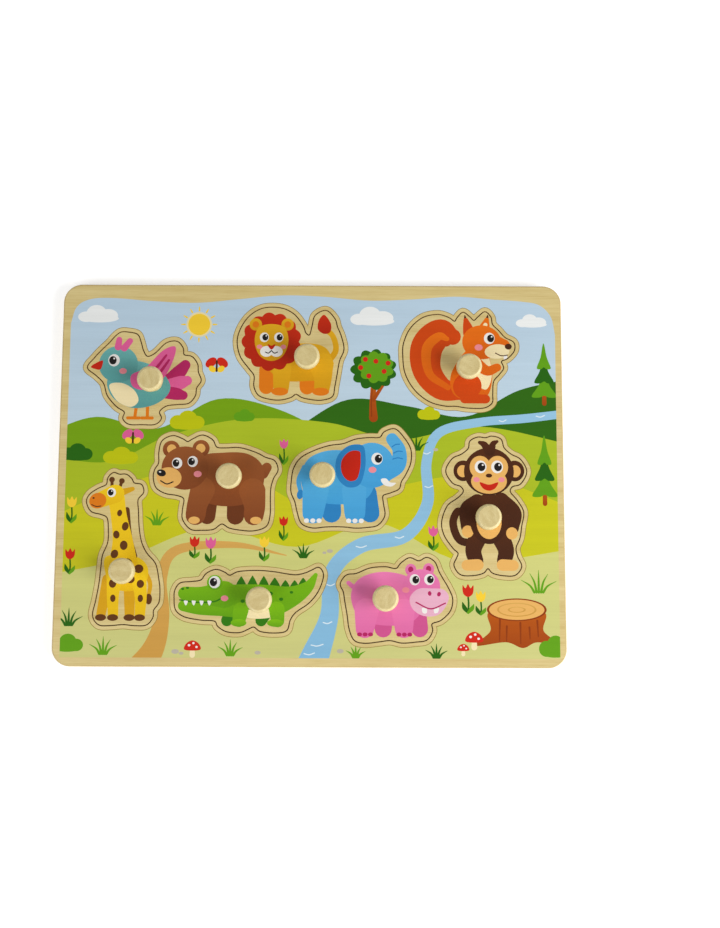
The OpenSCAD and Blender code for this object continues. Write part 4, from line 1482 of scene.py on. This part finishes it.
FLOOR_SIZE = 4.0
FLOOR_DROP = 0.0002
FLOOR_WHITE = (0.88, 0.88, 0.88, 1.0)
FLOOR_ROUGHNESS = 0.9
FLOOR_LIFT = 0.45
AMBIENT = 0.36
BACKDROP = 0.78
WHITE = (1.0, 1.0, 1.0, 1.0)
KEY_PLACE, KEY_SIZE, KEY_POWER = (0.85, -0.36, 0.58), 0.7, 10.5
FILL_PLACE, FILL_SIZE, FILL_POWER = (-0.62, -0.5, 0.6), 0.8, 3.6


def seen_directly(tree):
    """1 for camera, glossy and transmission rays."""
    rays = add_node(tree, "ShaderNodeLightPath").outputs
    seen_or_mirrored = sums(tree, "MAXIMUM", rays["Is Camera Ray"], rays["Is Glossy Ray"])
    return sums(tree, "MAXIMUM", seen_or_mirrored, rays["Is Transmission Ray"])


def white_floor():
    """Matt white floor, shown a little lighter than it is lit: it reads as white and keeps the shadow."""
    half = FLOOR_SIZE / 2
    corners = ((-half, -half), (half, -half), (half, half), (-half, half))
    mesh = bpy.data.meshes.new("floor")
    mesh.from_pydata([(x, y, -FLOOR_DROP) for x, y in corners], [], [(0, 1, 2, 3)])
    material, tree, shader = new_material("white_floor")
    shader.inputs["Base Color"].default_value = FLOOR_WHITE
    shader.inputs["Roughness"].default_value = FLOOR_ROUGHNESS
    shader.inputs["Emission Color"].default_value = WHITE
    plug(tree, shader.inputs["Emission Strength"], times(tree, seen_directly(tree), FLOOR_LIFT))
    mesh.materials.append(material)
    floor = bpy.data.objects.new("floor", mesh)
    bpy.context.scene.collection.objects.link(floor)


def white_world():
    """Even white surroundings: they light at the ambient level and are seen as bright as the far floor."""
    world = bpy.data.worlds.new("studio")
    world.use_nodes = True
    tree = world.node_tree
    background = tree.nodes["Background"]
    background.inputs["Color"].default_value = WHITE
    strength = ranged(tree, seen_directly(tree), UNIT, (AMBIENT, BACKDROP))
    plug(tree, background.inputs["Strength"], strength)
    bpy.context.scene.world = world


def softbox(name, place, size, watts):
    """Square area light aimed at the board."""
    lamp = bpy.data.lights.new(name, "AREA")
    lamp.size = size
    lamp.energy = watts
    light = bpy.data.objects.new(name, lamp)
    bpy.context.scene.collection.objects.link(light)
    light.location = place
    light.rotation_euler = (-light.location).to_track_quat("-Z", "Y").to_euler()


# Camera: found from the board's edges in the photograph
CAMERA_PLACE = (0.0291, -0.0789, 0.6902)
CAMERA_ELEVATION = 82.97
CAMERA_ROLL = 0.22
FOCAL_PIXELS = 1159.0
IMAGE_WIDTH = 720
SENSOR = 36.0


def photo_camera():
    """Camera over the board, tilted a little from the front."""
    lens = bpy.data.cameras.new("camera")
    lens.sensor_fit = "HORIZONTAL"
    lens.sensor_width = SENSOR
    lens.lens = FOCAL_PIXELS / IMAGE_WIDTH * SENSOR
    camera = bpy.data.objects.new("camera", lens)
    bpy.context.scene.collection.objects.link(camera)
    tilt = Matrix.Rotation(math.radians(90.0 - CAMERA_ELEVATION), 4, "X")
    roll = Matrix.Rotation(math.radians(CAMERA_ROLL), 4, "Z")
    camera.matrix_world = Matrix.Translation(CAMERA_PLACE) @ tilt @ roll
    bpy.context.scene.camera = camera


white_floor()
white_world()
softbox("key", KEY_PLACE, KEY_SIZE, KEY_POWER)
softbox("fill", FILL_PLACE, FILL_SIZE, FILL_POWER)
photo_camera()
bpy.context.scene.view_settings.view_transform = "Standard"
